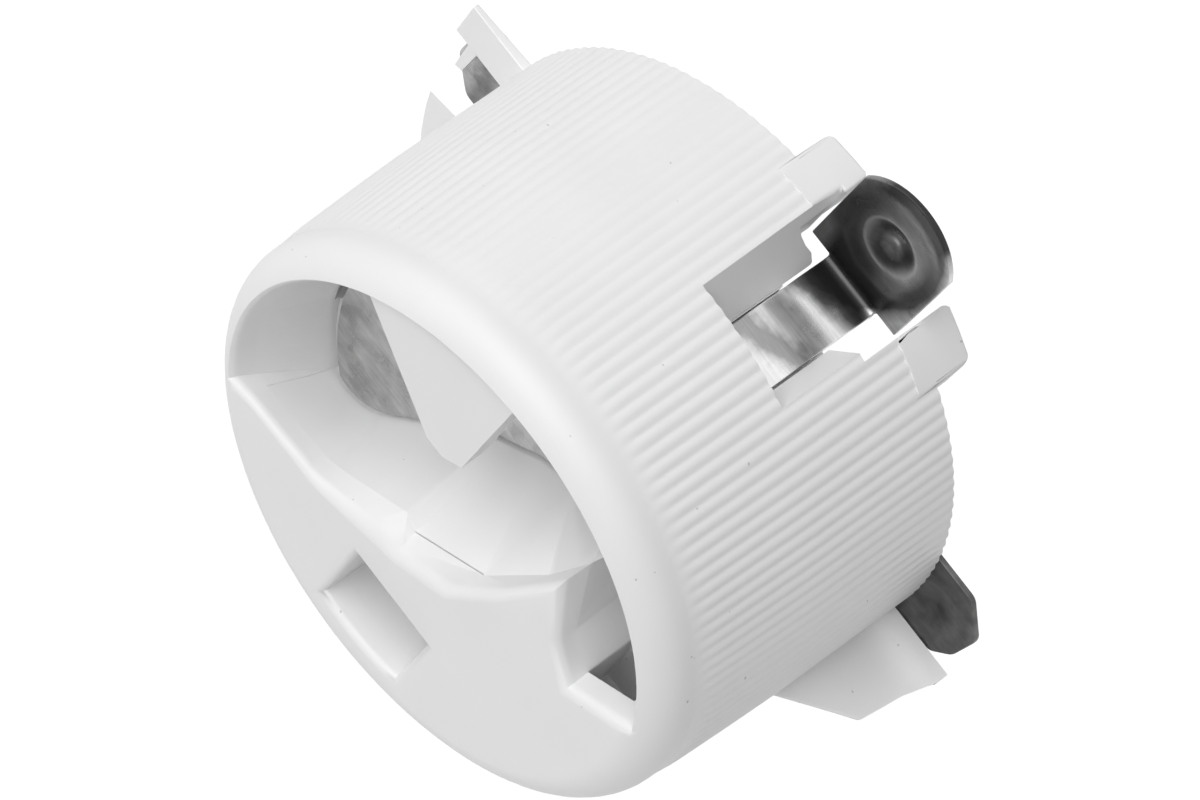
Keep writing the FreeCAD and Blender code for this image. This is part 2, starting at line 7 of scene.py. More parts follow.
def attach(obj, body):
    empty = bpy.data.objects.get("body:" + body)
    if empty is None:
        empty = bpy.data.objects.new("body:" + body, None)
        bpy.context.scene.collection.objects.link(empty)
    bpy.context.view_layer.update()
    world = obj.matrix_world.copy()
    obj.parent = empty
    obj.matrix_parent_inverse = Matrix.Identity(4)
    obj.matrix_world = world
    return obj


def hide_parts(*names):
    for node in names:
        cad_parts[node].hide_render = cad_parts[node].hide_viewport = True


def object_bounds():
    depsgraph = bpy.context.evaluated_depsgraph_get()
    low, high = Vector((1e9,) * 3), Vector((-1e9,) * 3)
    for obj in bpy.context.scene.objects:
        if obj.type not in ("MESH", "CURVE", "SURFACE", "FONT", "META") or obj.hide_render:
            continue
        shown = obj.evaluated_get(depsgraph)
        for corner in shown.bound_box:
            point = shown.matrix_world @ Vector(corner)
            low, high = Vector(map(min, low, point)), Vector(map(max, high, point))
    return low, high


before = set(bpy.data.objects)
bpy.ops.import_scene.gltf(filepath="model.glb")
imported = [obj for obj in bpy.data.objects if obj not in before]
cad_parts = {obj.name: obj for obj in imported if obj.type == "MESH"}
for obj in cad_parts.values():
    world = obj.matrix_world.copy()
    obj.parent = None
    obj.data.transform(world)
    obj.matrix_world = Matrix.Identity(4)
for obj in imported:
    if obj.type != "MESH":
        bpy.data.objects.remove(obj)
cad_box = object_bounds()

# Twist-in lamp holder. Sizes are in millimetres, counted along the axis Y
# from the open grip end, as in the part's own drawing. Meshes are turned into
# metres and moved onto the frame when they are finished.
MILLIMETRE = 0.001
CAP_LENGTH = 28.0

# Camera of the photograph, in the drawing's millimetres
CAMERA_PLACE = (28.10, -157.25, 299.36)
CAMERA_RIGHT = (0.6125, 0.7070, 0.3536)
CAMERA_UP = (-0.7861, 0.4976, 0.3667)
CAMERA_LENS = 150.0
CAMERA_SENSOR = 36.0
CAMERA_NEAR = 0.01

# Light at a plain level, and a floor in metres
SKY_STRENGTH = 0.29
KEY_DIRECTION = (-0.2, -0.5, 0.84)
KEY_STRENGTH = 1.85
SIDE_DIRECTION = (-0.75, -0.1, 0.65)
SIDE_STRENGTH = 0.5
LAMP_SPREAD = 50.0
FLOOR_DROP = 0.20
FLOOR_SIZE = 6.0
FLOOR_GREY = 0.8
FLOOR_GLOW = 0.35

# Meshes: places nearer than SAME_PLACE are one, and edges under SHORT_EDGE
# are closed before any rounding
SAME_PLACE = 0.00001
SHORT_EDGE = 0.012
MITRE_LIMIT = 0.4
SHARP_ANGLE = 28.0
SMOOTH_ANGLE = 35.0

# Grip cap: its rim, barrel, bore and web
RIM_FLAT_RADIUS = 19.05
RIM_ROUND = 3.0
RIM_STEPS = 10
BAND_END = 3.4
BAND_RISE = 0.01
CAP_FRONT_RADIUS = 22.05
CAP_MIDDLE_RADIUS = 22.75
CAP_REAR_RADIUS = 23.0
CAP_MIDDLE = 15.0
BARREL_SWELL = 0.1
MOUTH_RADIUS = 19.7
MOUTH_BACK_RADIUS = 19.45
MOUTH_ROUND = 0.85
CAP_BORE_RADIUS = 18.3
BORE_STEP = 0.05
BORE_TAPER_END = 8.3
TAPER_WALL_POINTS = 6
WEB_THICKNESS = 2.2
WEB_OVERCUT = 0.02

# Ribs, and the depths of the barrel's rows: close where the ribs fade in
RIB_COUNT = 136
RIB_STEPS = 8
RIB_HEIGHT = 0.11
RIB_START = 4.6
RIB_FADE = 1.6
RIB_FULLNESS = 0.7
FRONT_ROWS = (3.6, 3.9, 4.2, 4.5, 4.8, 5.1, 5.4, 6.0, 8.0, 10.0, 12.5)
REAR_ROWS = (CAP_MIDDLE, 18.0, 21.0, 24.0, 26.0, CAP_LENGTH)
SKIN_RADIUS = 21.5
SKIN_DEPTH = 3.3
RIBBED = 0
PLAIN = 1

# Leaning wall of the main recess as (x, z), from the rim to its corner: its
# edge in the web's outer face and its foot on the carrier's floor
WALL_EDGE = [
    (-17.6, -8.3), (-15.5, -7.8), (-13.0, -7.7),
    (-10.5, -7.6), (-8.0, -7.5), (-2.4, -5.6),
]
WALL_FOOT = [
    (-14.9, -10.8), (-13.4, -11.3), (-11.8, -11.1),
    (-10.2, -10.0), (-8.8, -8.1), (-3.0, 1.25),
]

# The web's edge on to the horn's tip, and where its bevel ends at the back
WEB_EDGE = [(-0.8, -5.1), (3.2, -2.6), (5.7, 2.5), (8.6, 10.6)]
BEVEL_EDGE = [(-1.2, -4.7), (4.3, -0.6), (7.4, 6.8), (8.8, 12.3)]
HORN_RIGHT = (11.2, 5.5)
WINDOW_CORNER = (14.0, 2.8)
WEB_RIGHT = (19.1, 6.3)

TONGUE = [(-1.6, 20.8), (-1.6, 9.2), (-3.1, 8.0), (-4.7, 8.0), (-14.8, 14.3)]
TONGUE_DEPTH = (0.6, 2.6)
TONGUE_RADIUS = 20.1

POCKET_X = (-2.7, 5.2)
POCKET_TOP = -9.6
POCKET_RADIUS = 17.6
POCKET_DEPTH = 7.0
POCKET_ROUND = 0.6

SLOT_CENTRE = 4.3
SLOT_START = 15.8
SLOT_HALF_INSIDE = 2.7
SLOT_HALF_OUTSIDE = 6.0
SLOT_FLOOR = 13.4
SLOT_INSIDE = 18.4
SLOT_OUTSIDE = 24.0
NOTCH_LEFT = -0.5
NOTCH_LEFT_END = [
    (25.1, 22.2), (25.25, 21.2), (25.7, 20.2), (26.3, 19.3),
    (26.4, 18.5), (26.0, 18.2), (25.1, 18.2),
]
NOTCH_RIGHT = 9.2
NOTCH_RIGHT_START = 23.2
NOTCH_FLOOR = 12.0
LUG_START = 26.3
LUG_END = 31.4
LUG_RADII = (20.6, 23.0)
LUG_WIDTH = 4.3
LUG_OVERLAP = 0.3
LUG_STEPS = 6

# Ramp under the right contact: edge and fold as (x, y), the fold's depth and
# how far it is felt to the front and to the rear, and its leaning flank
LUG_BACK = 27.9
RAMP_EDGE = [(20.5, 13.9), (22.6, 15.6), (27.7, 19.9), (28.2, 24.1), (28.9, 26.6), (28.98, 27.5)]
RAMP_FOLD = [(20.5, 25.4), (28.98, 24.3)]
RAMP_PLACES = (20.5, 21.5, 22.6, 24.0, 25.3, 26.5, 27.7, 27.95, 28.2, 28.55, 28.9, 28.98)
RAMP_STEPS = 16
RAMP_FOLD_DEPTH = 0.9
RAMP_FOLD_FADE = 0.6
RAMP_FOLD_FRONT = 7.0
RAMP_FOLD_REAR = 2.6
RAMP_TOP_Z = -2.9
RAMP_LOW_Z = -5.3
RAMP_LEAN = 1.45
POINT_GAP = 0.001

# Bar with its hooked tooth, and the thin lug beside the left contact
BAR = [(-20.5, 26.9), (-28.38, 26.9), (-28.38, 27.4), (-20.5, 27.9)]
BAR_Z = (0.1, 3.8)
HOOK = [(-27.0, 0.5), (-26.9, -3.1), (-26.2, -2.9), (-26.0, 0.5)]
HOOK_DEPTH = (26.97, 27.42)
FLANGE_RADII = (20.5, 27.2)
FLANGE_FRONT_ANGLES = (191.4, 216.0)
FLANGE_BACK_ANGLES = (204.0, 216.0)
FLANGE_DEPTH = (25.4, 27.8)
FLANGE_STEPS = 8

# Rounding of the cap's lugs: the widest round, and each edge's share of it
CAP_SOFT_WIDTH = 0.75
CAP_SOFT_RADIUS = 21.0
CAP_SMOOTH_ANGLE = 50
LUG_EDGE_SHARE = 0.35
RAMP_EDGE_SHARE = 0.3
BAR_EDGE_SHARE = 0.15
LUG_REACH_X = 20.0
RAMP_SOFT_END = 27.8
EDGE_MARGIN = 0.1

# Contact carrier
CARRIER_RADIUS = 18.27
CARRIER_END = 23.6
CARRIER_SEGMENTS = 144
CARRIER_SOFT_WIDTH = 0.2
SHARP_BORE_RING = 0.4
SHARP_WEB_DEPTH = 0.5
FLOOR_FRONT = 8.8
FLOOR_BACK = 11.0
SHELL_INNER_RADIUS = 16.4
SEAT_RADIUS = 7.65
SEAT_OUTER_RADIUS = 9.4
SEAT_LEDGE_RADIUS = 7.2
SEAT_LEDGE = 13.0
PIN_SLOT_HALF = 1.3
PIN_SLOT_BOTTOM = 15.0
PIN_SLOT_TURN = 35.0
PIN_SLOT_OVERLAP = 0.6
CUT_START = 1.0
FOOT_END = [(-1.6, 2.6), (0.65, 4.75), (3.4, 6.2), (7.2, 9.0), (7.3, 18.4)]
RECESS_END = (9.6, 17.6)
OVER_BORE = [(-1.0, 21.5), (-15.5, 15.0), (-21.0, 0.0)]
WINDOW_LOW = [(14.4, -6.5), (17.2, -6.5)]
WINDOW_OVER_BORE = [(21.0, 0.0), (19.0, 10.0), (12.0, 18.0)]
CRACK_WIDTH = 0.08
CRACK_REACH = 0.7
CRACK_BACK = 0.1

# Contacts: sheet, legs and the room that the plastic leaves for them
SHEET = 0.5
SHEET_BEND = 1.5
SHEET_SOFT_WIDTH = 0.12
SHEET_SHARP_ANGLE = 50
BEND_RADIUS = 0.75
PLAY = 0.1
LEG_WIDTH = 5.0
LEG_CENTRE = 17.85
LEG_OUTER = 18.1
LEG_ROOM_HALF = LEG_WIDTH / 2 + PLAY
LEG_ROOM_TOP = 18.6
BEND_ROOM_INNER = 17.3
LEG_WAVES = [(0.0, 18.4), (0.4, 21.0), (0.0, 23.4), (0.32, 25.4)]
RIGHT_OFFSET = 1.1
LEFT_OFFSET = 1.9
PAD_RADIUS = 3.0
PAD_REACH = 3.6
PAD_SEGMENTS = 48
JOGGLE = (7.2, 9.6)
JOGGLE_ROOM = 0.4

# Their heads, with outlines as (reach, aside) and a dimple as (radius, rise)
HEAD_FRONT = 28.0
HEAD_SHOULDER = 18.3
HEAD_OVERLAP = 2.5
HEAD_FOLD_END = 19.4
NECK_HALF = 2.45
ROUND_HEAD_CENTRE = 25.1
ROUND_HEAD_RADIUS = 4.98
ROUND_HEAD_HALF = 4.5
ROUND_HEAD_STEPS = 28
BLUNT_HEAD = [(18.3, -4.3), (26.8, -4.3), (28.1, -2.2), (28.4, 1.35), (26.0, 4.3), (18.3, 4.3)]
LEFT_HEAD_SHIFT = -0.8
HEAD_CORNER = 0.5
CORNER_LIMIT = 0.45
SIDE_DIMPLE_REACH = 24.65
SIDE_DIMPLE_SHARE = 0.5
ROUND_DIMPLE_REACH = 24.5
DIMPLE = [(2.7, 0.0), (2.35, 0.05), (1.7, 0.28), (1.1, 0.58), (0.6, 0.8), (0.3, 0.86), (0, 0.88)]
DIMPLE_WALL = 0.2
DIMPLE_SEGMENTS = 40
HOLLOW_START = 0.3
HOLLOW_GAP = 0.02

# Plate of the top contact, and the finger bent down from it
PLATE_RADIUS = 17.7
PLATE_GAP = 0.3
PLATE_OVERLAP = 4.0
PLATE_RELIEF = [(-8.0, 13.5), (1.8, 13.5), (1.8, 23.0), (-8.0, 23.0)]
FINGER_X = -5.7
FINGER_HALF = 1.2
FINGER_Z = (1.4, 5.2)
FINGER_ROOM = 0.3
FINGER_ROOT_Z = 6.2
FINGER_BEND_Z = 4.4
FINGER_TIP_Z = 1.8
FINGER_TIP_Y = 12.0

# White plastic: shades, flow marks, specks and grain
CAP_SHADE = 0.86
CARRIER_SHADE = 0.85
SHADE_DRIFT = 0.025
FLOW_SCALE = 110.0
SPECK_SCALE = 1500.0
SPECK_LIMIT = 0.8
SPECK_EDGE = 40.0
SPECK_GREY = 0.55
PLASTIC_ROUGH = [(0.3, 0.44), (0.7, 0.52)]
FINE_GRAIN = 2600.0
COARSE_GRAIN = 420.0
COARSE_SHARE = 1.6
GRAIN_STRENGTH = 0.12
GRAIN_DEPTH = 0.00006

# Sheet metal: drawing lines, rings, clouds and gloss
LINE_SCALE = 5200.0
LINE_STRETCH = (0.08, 1.0, 1.0)
LINE_GREYS = [(0.35, 0.86), (0.65, 1.0)]
RING_BEND = 0.0012
RING_STRENGTH = 0.1
RING_DEPTH = 0.00005
TOP_RING_SCALE = 5200.0
TOP_CLOUD_SCALE = 520.0
TOP_ROUGH = 0.3
SIDE_RING_SCALE = 4200.0
SIDE_CLOUD_SCALE = 700.0
SIDE_ROUGH = 0.34
# Side contacts' greys: painted shade and dark reflections on the right contact, lighter painted
# reflections on the left one
RIGHT_PAINTED_SHADE_GREYS = [(0.35, 0.09), (0.66, 0.15)]
LEFT_PAINTED_REFLECTION_GREYS = [(0.35, 0.34), (0.66, 0.6)]
BLADE_GREY = 0.75

# Greys of the top contact: painted highlights and dark bands along its leg
# from LEG_GREY_START over LEG_GREY_SPAN, painted reflection rings outwards
# from the dimple over GREY_REACH, and plain greys on its plate
LEG_GREY_START = 13.4
LEG_GREY_SPAN = 16.0
# Painted highlights (near 0.95) and dark bands along the leg
LEG_PAINTED_HIGHLIGHT_BANDS = [
    (0.0, 0.1), (0.09, 0.2), (0.15, 0.95), (0.27, 0.95), (0.34, 0.4),
    (0.42, 0.36), (0.49, 0.95), (0.64, 0.95), (0.71, 0.2), (0.78, 0.06),
]
BAND_SLANT = -0.4
BAND_WAVE = 2.4
GREY_REACH = 10.0
# Painted reflections on the head: dark middle, bright ring, dark further out
HEAD_PAINTED_REFLECTIONS = [
    (0.0, 0.2), (0.035, 0.65), (0.07, 0.6), (0.1, 0.3), (0.15, 0.2),
    (0.2, 0.06), (0.3, 0.09), (0.36, 0.06), (0.48, 0.1), (0.53, 0.05),
]
# Painted shade round each side contact's dimple, darkest at its middle
DIMPLE_PAINTED_SHADE = [(0.06, 0.35), (0.14, 0.75), (0.3, 1.0)]
# Painted sheen on the head's shoulders, away from the dimple
SHOULDER_START = 2.7
SHOULDER_RISE = 6.0
SHOULDER_DROP = -2.8
SHOULDER_PAINTED_SHEEN = 0.3
# Painted highlight on the head's right corner
CORNER_SLANT = 0.45
CORNER_RISE = 5.0
CORNER_START = 4.3
CORNER_PAINTED_HIGHLIGHT = 0.95
PLATE_GREYS = [(0.3, 0.45), (0.7, 0.7)]
HEAD_BLEND = 1.2
PLATE_BLEND = 1.5


def point(x, y, z):
    """A drawing point in metres, on the frame."""
    return Vector((x, y - CAP_LENGTH, z)) * MILLIMETRE


def new_object(name, mesh):
    """An object in the scene with this mesh."""
    piece = bpy.data.objects.new(name, mesh)
    bpy.context.scene.collection.objects.link(piece)
    return piece


def mesh_of(made, name):
    """The finished mesh of a bmesh, with its faces pointing outwards."""
    bmesh.ops.recalc_face_normals(made, faces=made.faces)
    mesh = bpy.data.meshes.new(name)
    made.to_mesh(mesh)
    made.free()
    return mesh


def mesh_from_rings(rings):
    """A closed solid from rings of (x, y, z) points with equal counts."""
    made = bmesh.new()
    rows = [[made.verts.new(place) for place in ring] for ring in rings]
    for lower, upper in zip(rows, rows[1:]):
        count = len(lower)
        for index in range(count):
            after = (index + 1) % count
            made.faces.new((lower[index], lower[after], upper[after], upper[index]))
    made.faces.new(rows[0])
    made.faces.new(rows[-1])
    bmesh.ops.remove_doubles(made, verts=made.verts, dist=SAME_PLACE)
    return mesh_of(made, "rings")


def prism(points, start, end):
    """A straight solid along the axis from (x, z) points."""
    rings = [[(x, y, z) for x, z in points] for y in (start, end)]
    return mesh_from_rings(rings)


def around(middle, half):
    """The range that reaches half to both sides of a middle."""
    return middle - half, middle + half


def block(x_range, z_range, y_range):
    """An upright box from its three ranges."""
    (left, right), (low, high) = x_range, z_range
    corners = [(left, low), (right, low), (right, high), (left, high)]
    return prism(corners, *y_range)


def slab(points, low, high):
    """A flat solid between two heights from (x, y) points."""
    rings = [[(x, y, z) for x, y in points] for z in (low, high)]
    return mesh_from_rings(rings)


def lathe(profile, segments):
    """A solid of revolution from (radius, y) points that start and end on
    the axis."""
    made = bmesh.new()
    rows = []
    for radius, y in profile:
        if radius == 0:
            rows.append([made.verts.new((0, y, 0))])
            continue
        row = []
        for step in range(segments):
            angle = 2 * math.pi * step / segments
            row.append(made.verts.new((radius * math.cos(angle), y, radius * math.sin(angle))))
        rows.append(row)
    for lower, upper in zip(rows, rows[1:]):
        for step in range(segments):
            after = (step + 1) % segments
            if len(lower) == 1:
                made.faces.new((lower[0], upper[after], upper[step]))
            elif len(upper) == 1:
                made.faces.new((lower[step], lower[after], upper[0]))
            else:
                made.faces.new((lower[step], lower[after], upper[after], upper[step]))
    return mesh_of(made, "lathe")


def combine(base, mesh, operation):
    """base with mesh cut out of it or joined to it."""
    tool = new_object("tool", mesh)
    modifier = base.modifiers.new("combine", "BOOLEAN")
    modifier.operation = operation
    modifier.solver = "EXACT"
    modifier.object = tool
    settle(base)
    bpy.data.objects.remove(tool)


def settle(piece):
    """Turns the piece with its modifiers into a plain mesh."""
    graph = bpy.context.evaluated_depsgraph_get()
    mesh = bpy.data.meshes.new_from_object(piece.evaluated_get(graph))
    piece.modifiers.clear()
    piece.data = mesh


def combined(mesh, steps):
    """The mesh after each step, a (tool mesh, operation)."""
    piece = new_object("work", mesh)
    for tool, operation in steps:
        combine(piece, tool, operation)
    mesh = piece.data
    bpy.data.objects.remove(piece)
    return mesh


def mark_faces(mesh, index):
    """Gives all faces one material index."""
    for face in mesh.polygons:
        face.material_index = index
    return mesh


def soften(piece, width, segments, angle, weight_of=None):
    """Rounds the sharp edges. weight_of gives each edge's share of the width
    from the middle of the edge and the material indices beside it; without
    it every sharp edge gets the whole width."""
    made = bmesh.new()
    made.from_mesh(piece.data)
    bmesh.ops.remove_doubles(made, verts=made.verts, dist=SHORT_EDGE)
    bmesh.ops.dissolve_degenerate(made, edges=made.edges, dist=SHORT_EDGE)
    weights = made.edges.layers.float.new("bevel_weight_edge")
    limit = math.radians(angle)
    for edge in made.edges:
        if len(edge.link_faces) != 2 or edge.calc_face_angle(0) < limit:
            continue
        middle = (edge.verts[0].co + edge.verts[1].co) / 2
        sides = [face.material_index for face in edge.link_faces]
        edge[weights] = weight_of(middle, sides) if weight_of else 1.0
    made.to_mesh(piece.data)
    made.free()
    bevel = piece.modifiers.new("soften", "BEVEL")
    bevel.limit_method = "WEIGHT"
    bevel.width = width
    bevel.segments = segments
    bevel.use_clamp_overlap = False
    settle(piece)


def finish_piece(piece, node, material, smooth_angle=SMOOTH_ANGLE):
    """Moves the piece to metres on the frame and puts it on its body."""
    place = Matrix.Scale(MILLIMETRE, 4) @ Matrix.Translation((0, -CAP_LENGTH, 0))
    piece.data.transform(place)
    piece.data.materials.clear()
    piece.data.materials.append(material)
    mark_faces(piece.data, 0)
    piece.data.shade_smooth()
    piece.data.set_sharp_from_angle(angle=math.radians(smooth_angle))
    even = piece.modifiers.new("even shading", "WEIGHTED_NORMAL")
    even.keep_sharp = True
    settle(piece)
    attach(piece, "root")
    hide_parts(node)


# Ribs


def math_node(tree, operation, first, second=None, third=None):
    """A math node with values or links on its inputs."""
    node = tree.nodes.new("ShaderNodeMath")
    node.operation = operation
    for index, value in enumerate((first, second, third)):
        if value is None:
            continue
        if isinstance(value, (int, float)):
            node.inputs[index].default_value = value
        else:
            tree.links.new(value, node.inputs[index])
    return node.outputs[0]


def rib_tree():
    """Geometry nodes that raise equal ribs round a barrel on the axis Y."""
    tree = bpy.data.node_groups.new("grip ribs", "GeometryNodeTree")
    face = tree.interface
    face.new_socket("Geometry", in_out="INPUT", socket_type="NodeSocketGeometry")
    for name in ("Rib Count", "Rib Height", "Rib Start", "Rib Fade", "Least Radius"):
        face.new_socket(name, in_out="INPUT", socket_type="NodeSocketFloat")
    face.new_socket("Geometry", in_out="OUTPUT", socket_type="NodeSocketGeometry")
    start = tree.nodes.new("NodeGroupInput")
    end = tree.nodes.new("NodeGroupOutput")
    place = tree.nodes.new("GeometryNodeInputPosition")
    parts = tree.nodes.new("ShaderNodeSeparateXYZ")
    tree.links.new(place.outputs[0], parts.inputs[0])
    across, depth, up = parts.outputs
    angle = math_node(tree, "ARCTAN2", up, across)
    turns = math_node(tree, "MULTIPLY", angle, start.outputs["Rib Count"])
    wave = math_node(tree, "COSINE", turns)
    share = math_node(tree, "MULTIPLY_ADD", wave, 0.5, 0.5)
    round_share = math_node(tree, "POWER", share, RIB_FULLNESS)
    past = math_node(tree, "SUBTRACT", depth, start.outputs["Rib Start"])
    fade = math_node(tree, "DIVIDE", past, start.outputs["Rib Fade"])
    fade_limit = tree.nodes.new("ShaderNodeClamp")
    tree.links.new(fade, fade_limit.inputs[0])
    side = math_node(tree, "MULTIPLY", across, across)
    rise = math_node(tree, "MULTIPLY", up, up)
    radius = math_node(tree, "SQRT", math_node(tree, "ADD", side, rise))
    outside = math_node(tree, "GREATER_THAN", radius, start.outputs["Least Radius"])
    height = math_node(tree, "MULTIPLY", round_share, start.outputs["Rib Height"])
    height = math_node(tree, "MULTIPLY", height, fade_limit.outputs[0])
    height = math_node(tree, "MULTIPLY", height, outside)
    growth = math_node(tree, "DIVIDE", height, math_node(tree, "MAXIMUM", radius, 1.0))
    offset = tree.nodes.new("ShaderNodeCombineXYZ")
    tree.links.new(math_node(tree, "MULTIPLY", across, growth), offset.inputs[0])
    tree.links.new(math_node(tree, "MULTIPLY", up, growth), offset.inputs[2])
    move = tree.nodes.new("GeometryNodeSetPosition")
    tree.links.new(start.outputs["Geometry"], move.inputs["Geometry"])
    tree.links.new(offset.outputs[0], move.inputs["Offset"])
    realize = tree.nodes.new("GeometryNodeRealizeInstances")
    tree.links.new(move.outputs[0], realize.inputs[0])
    paint = tree.nodes.new("GeometryNodeSetMaterial")
    tree.links.new(realize.outputs[0], paint.inputs["Geometry"])
    tree.links.new(paint.outputs[0], end.inputs[0])
    return tree


def run_tree(piece, tree, values):
    """Runs a geometry tree on a piece and keeps the plain result."""
    modifier = piece.modifiers.new(tree.name, "NODES")
    modifier.node_group = tree
    for item in tree.interface.items_tree:
        if item.item_type == "SOCKET" and item.in_out == "INPUT" and item.name in values:
            modifier[item.identifier] = values[item.name]
    settle(piece)


# Grip cap


def barrel_rows():
    """The barrel's outline as (radius, y): the plain front, then the ribbed
    rest."""
    front = [(RIM_FLAT_RADIUS, 0)]
    for step in range(1, RIM_STEPS + 1):
        angle = math.radians(90 * step / RIM_STEPS)
        radius = RIM_FLAT_RADIUS + RIM_ROUND * math.sin(angle)
        front.append((radius, RIM_ROUND - RIM_ROUND * math.cos(angle)))
    band_radius = CAP_FRONT_RADIUS + BAND_RISE
    front.append((band_radius, BAND_END))
    root_middle = CAP_MIDDLE_RADIUS - RIB_HEIGHT
    root_rear = CAP_REAR_RADIUS - RIB_HEIGHT
    ribbed = []
    for y in FRONT_ROWS:
        share = (y - FRONT_ROWS[0]) / (CAP_MIDDLE - FRONT_ROWS[0])
        swell = BARREL_SWELL * share * (1 - share)
        ribbed.append((band_radius + (root_middle - CAP_FRONT_RADIUS) * share + swell, y))
    for y in REAR_ROWS:
        share = (y - CAP_MIDDLE) / (CAP_LENGTH - CAP_MIDDLE)
        ribbed.append((root_middle + (root_rear - root_middle) * share, y))
    return front, ribbed


def barrel_mesh():
    """The barrel as a closed solid, with finer steps where its ribs come."""
    front, ribbed = barrel_rows()
    counted = [(row, RIB_COUNT) for row in front]
    counted += [(row, RIB_COUNT * RIB_STEPS) for row in ribbed]
    made = bmesh.new()
    pole = made.verts.new((0, 0, 0))
    rows = []
    for (radius, y), count in counted:
        row = []
        for step in range(count):
            angle = 2 * math.pi * step / count
            row.append(made.verts.new((radius * math.cos(angle), y, radius * math.sin(angle))))
        rows.append(row)
    for step in range(RIB_COUNT):
        made.faces.new((pole, rows[0][step], rows[0][(step + 1) % RIB_COUNT]))
    for lower, upper in zip(rows, rows[1:]):
        finer = len(upper) // len(lower)
        for step in range(len(lower)):
            far = [upper[(step * finer + fine) % len(upper)] for fine in range(finer + 1)]
            made.faces.new([lower[step], lower[(step + 1) % len(lower)]] + far[::-1])
    made.faces.new(rows[-1])
    return mesh_of(made, "barrel")


def on_radius(place, radius):
    """The same direction from the axis, at the given radius."""
    scale = radius / math.hypot(*place)
    return place[0] * scale, place[1] * scale


def smooth_path(points, steps=4):
    """More points on a smooth curve through the given ones."""
    ends = [points[0]] + points + [points[-1]]
    path = []
    for before, here, after, beyond in zip(ends, ends[1:], ends[2:], ends[3:]):
        for step in range(steps):
            t = step / steps
            place = []
            for a, b, c, d in zip(before, here, after, beyond):
                bend = 2 * b + (c - a) * t + (2 * a - 5 * b + 4 * c - d) * t ** 2
                place.append(0.5 * (bend + (3 * b - a - 3 * c + d) * t ** 3))
            path.append(tuple(place))
    return path + [points[-1]]


def between_edges(outer, inner, share):
    """Points on the way from one edge to the other."""
    pairs = zip(outer, inner)
    return [(a[0] + share * (b[0] - a[0]), a[1] + share * (b[1] - a[1])) for a, b in pairs]


def web_back():
    """The mouth's edge on the back of the web, from the rim to the horn."""
    share = WEB_THICKNESS / BORE_TAPER_END
    return between_edges(smooth_path(WALL_EDGE), smooth_path(WALL_FOOT), share) + BEVEL_EDGE


def mouth_outline(points, radius, steps=72):
    """An edge through points, closed by an arc over the top."""
    start = on_radius(points[0], radius)
    end = on_radius(points[-1], radius)
    outline = [start] + points[1:-1] + [end]
    first = math.atan2(end[1], end[0])
    last = math.atan2(start[1], start[0]) + 2 * math.pi
    for step in range(1, steps):
        angle = first + (last - first) * step / steps
        outline.append((radius * math.cos(angle), radius * math.sin(angle)))
    return outline


def inset(outline, distance):
    """The outline moved inwards, for points that run against the clock."""
    moved = []
    count = len(outline)
    for index, corner in enumerate(outline):
        here = Vector(corner)
        before = (here - Vector(outline[index - 1])).normalized()
        after = (Vector(outline[(index + 1) % count]) - here).normalized()
        left_before = Vector((-before.y, before.x))
        left_after = Vector((-after.y, after.x))
        middle = (left_before + left_after).normalized()
        reach = distance / max(middle.dot(left_after), MITRE_LIMIT)
        moved.append(tuple(here + middle * reach))
    return moved


def crest_rows(radius, steps=6):
    """Depths of a rounded crest, and how far its outline moves out there."""
    rows = [(-1.0, radius)]
    for step in range(steps + 1):
        angle = math.radians(90 * step / steps)
        rows.append((radius * (1 - math.cos(angle)), radius * (1 - math.sin(angle))))
    return rows


def mouth_cutter():
    """The bevelled opening of the web, rounded along its edge and the rim."""
    rest = [HORN_RIGHT, WINDOW_CORNER, WEB_RIGHT]
    rows = [(depth, MOUTH_RADIUS, out) for depth, out in crest_rows(MOUTH_ROUND)]
    rows.append((WEB_THICKNESS, MOUTH_BACK_RADIUS, 0))
    rows.append((WEB_THICKNESS + WEB_OVERCUT, MOUTH_BACK_RADIUS, 0))
    rings = []
    for depth, radius, out in rows:
        share = min(max(depth / WEB_THICKNESS, 0), 1)
        edge = between_edges(smooth_path(WALL_EDGE) + WEB_EDGE, web_back(), share)
        outline = inset(mouth_outline(edge + rest, radius), -out)
        rings.append([(x, depth, z) for x, z in outline])
    return mesh_from_rings(rings)


def taper_cutter():
    """The cone of the bore, which only the mouth's side of the cap has."""
    back_radius = CAP_BORE_RADIUS - BORE_STEP
    rings = []
    for depth, radius in ((WEB_THICKNESS, MOUTH_BACK_RADIUS), (BORE_TAPER_END, back_radius)):
        share = depth / BORE_TAPER_END
        wall = between_edges(smooth_path(WALL_EDGE), smooth_path(WALL_FOOT), share)
        points = wall[:TAPER_WALL_POINTS] + [WINDOW_CORNER, WEB_RIGHT]
        rings.append([(x, depth, z) for x, z in mouth_outline(points, radius)])
    return mesh_from_rings(rings)


def drum(radius, start, end, segments=RIB_COUNT):
    """A plain cylinder about the axis."""
    return lathe([(0, start), (radius, start), (radius, end), (0, end)], segments)


def arc_points(radius, first, last, steps=6):
    """Points (x, z) on an arc about the axis, angles in degrees."""
    points = []
    for step in range(steps + 1):
        angle = math.radians(first + (last - first) * step / steps)
        points.append((radius * math.cos(angle), radius * math.sin(angle)))
    return points


def pocket_points():
    """The finger pocket's outline, round at its outer end."""
    left, right = POCKET_X
    low_left = -math.sqrt(POCKET_RADIUS ** 2 - left ** 2)
    low_right = -math.sqrt(POCKET_RADIUS ** 2 - right ** 2)
    first = math.degrees(math.atan2(low_left, left))
    last = math.degrees(math.atan2(low_right, right))
    bottom = arc_points(POCKET_RADIUS, first, last)
    return [(left, POCKET_TOP)] + bottom + [(right, POCKET_TOP)]


